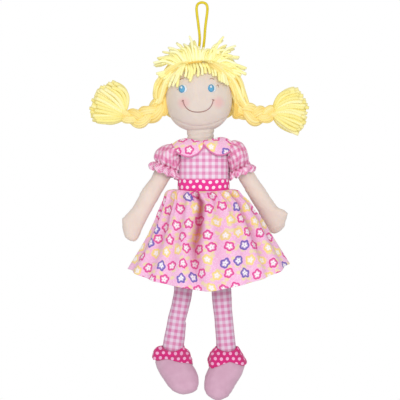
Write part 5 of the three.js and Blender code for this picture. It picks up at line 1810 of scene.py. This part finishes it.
def makeTuft():
    tips, ridge = alongPixels(tuft["tips"], 401), alongPixels(tuft["ridge"], 101)
    paths, sizes = [], []
    for i in range(tuft["count"]):
        paths.append(tuftPath(i, tips, ridge))
        sizes.append(tuft["thickness"] * dice.uniform(0.85, 1.1))
    piece = yarn("tuft_strands", paths, sizes, tones=tonesFor(len(paths), 0.55, 1.15), shade=0.5)
    finished(piece, "tips", "head", "top_tuft")
    # a strand along the tuft's seam, given the deepest tone: painted shade under the ridge
    seam = [onFace(x, y, tuft["seamStand"]) for x, y in alongPixels(tuft["seam"], 20)]
    thickness, tone = tuft["seamShade"]
    finished(yarn("tuft_seam_shade", [seam], thickness, tones=tone), "hair", "head")
    for name, group in overFace.items():
        paths, sizes = [], []
        for kind, near, far, size in group["strands"]:
            paths += [fringePath(pixels, near, far, number) for number, pixels in enumerate(tuft[kind])]
            sizes += [size] * len(tuft[kind])
        tones = tonesFor(len(paths), *group["tones"])
        piece = yarn(f"{name}_strands", paths, sizes, tones=tones, shade=group["shade"])
        finished(piece, group["finish"], "head", *group["nodes"])


makeTuft()
tell("hair is dressed")

# Backdrop and lights; lamps are set in metres and watts
room = {"floorZ": -0.63, "floorSize": 5.0, "floorTone": "fbfbfb", "light": 0.52, "seen": 1.0}
lamps = {  # place, what it faces, size and power
    "key": ((0.42, -1.75, 0.42), (0, 0, -0.2), 0.7, 13.4),
    "fill": ((-0.9, -1.6, -0.1), (0, 0, -0.2), 1.2, 5.6),
}


def makeRoom():
    letGo()
    bpy.ops.mesh.primitive_plane_add(size=room["floorSize"], location=(0, 0, room["floorZ"]))
    floor = bpy.context.object
    floor.name = "floor"
    paper = Finish("floor_paper", roughness=1.0, sheen=0.0)
    paper.shader.inputs["Base Color"].default_value = tint(room["floorTone"])
    floor.data.materials.append(paper.material)
    world = bpy.data.worlds.new("studio")
    bpy.context.scene.world = world
    world.use_nodes = True
    tree = world.node_tree
    light = tree.nodes["Background"]
    seen = tree.nodes.new("ShaderNodeBackground")
    for backdrop, strength in ((light, room["light"]), (seen, room["seen"])):
        backdrop.inputs["Color"].default_value = (1, 1, 1, 1)
        backdrop.inputs["Strength"].default_value = strength
    path = tree.nodes.new("ShaderNodeLightPath")
    mixer = tree.nodes.new("ShaderNodeMixShader")
    tree.links.new(path.outputs["Is Camera Ray"], mixer.inputs[0])
    tree.links.new(light.outputs[0], mixer.inputs[1])
    tree.links.new(seen.outputs[0], mixer.inputs[2])
    tree.links.new(mixer.outputs[0], tree.nodes["World Output"].inputs["Surface"])


def makeLamps():
    for name, (place, target, size, power) in lamps.items():
        data = bpy.data.lights.new(name, "AREA")
        data.size = size
        data.energy = power
        lamp = placed(name, data)
        lamp.location = place
        lamp.rotation_euler = (Vector(target) - Vector(place)).to_track_quat("-Z", "Y").to_euler()


makeRoom()
makeLamps()
tell("floor and lamps are in place")
bpy.context.scene.view_settings.view_transform = "Standard"
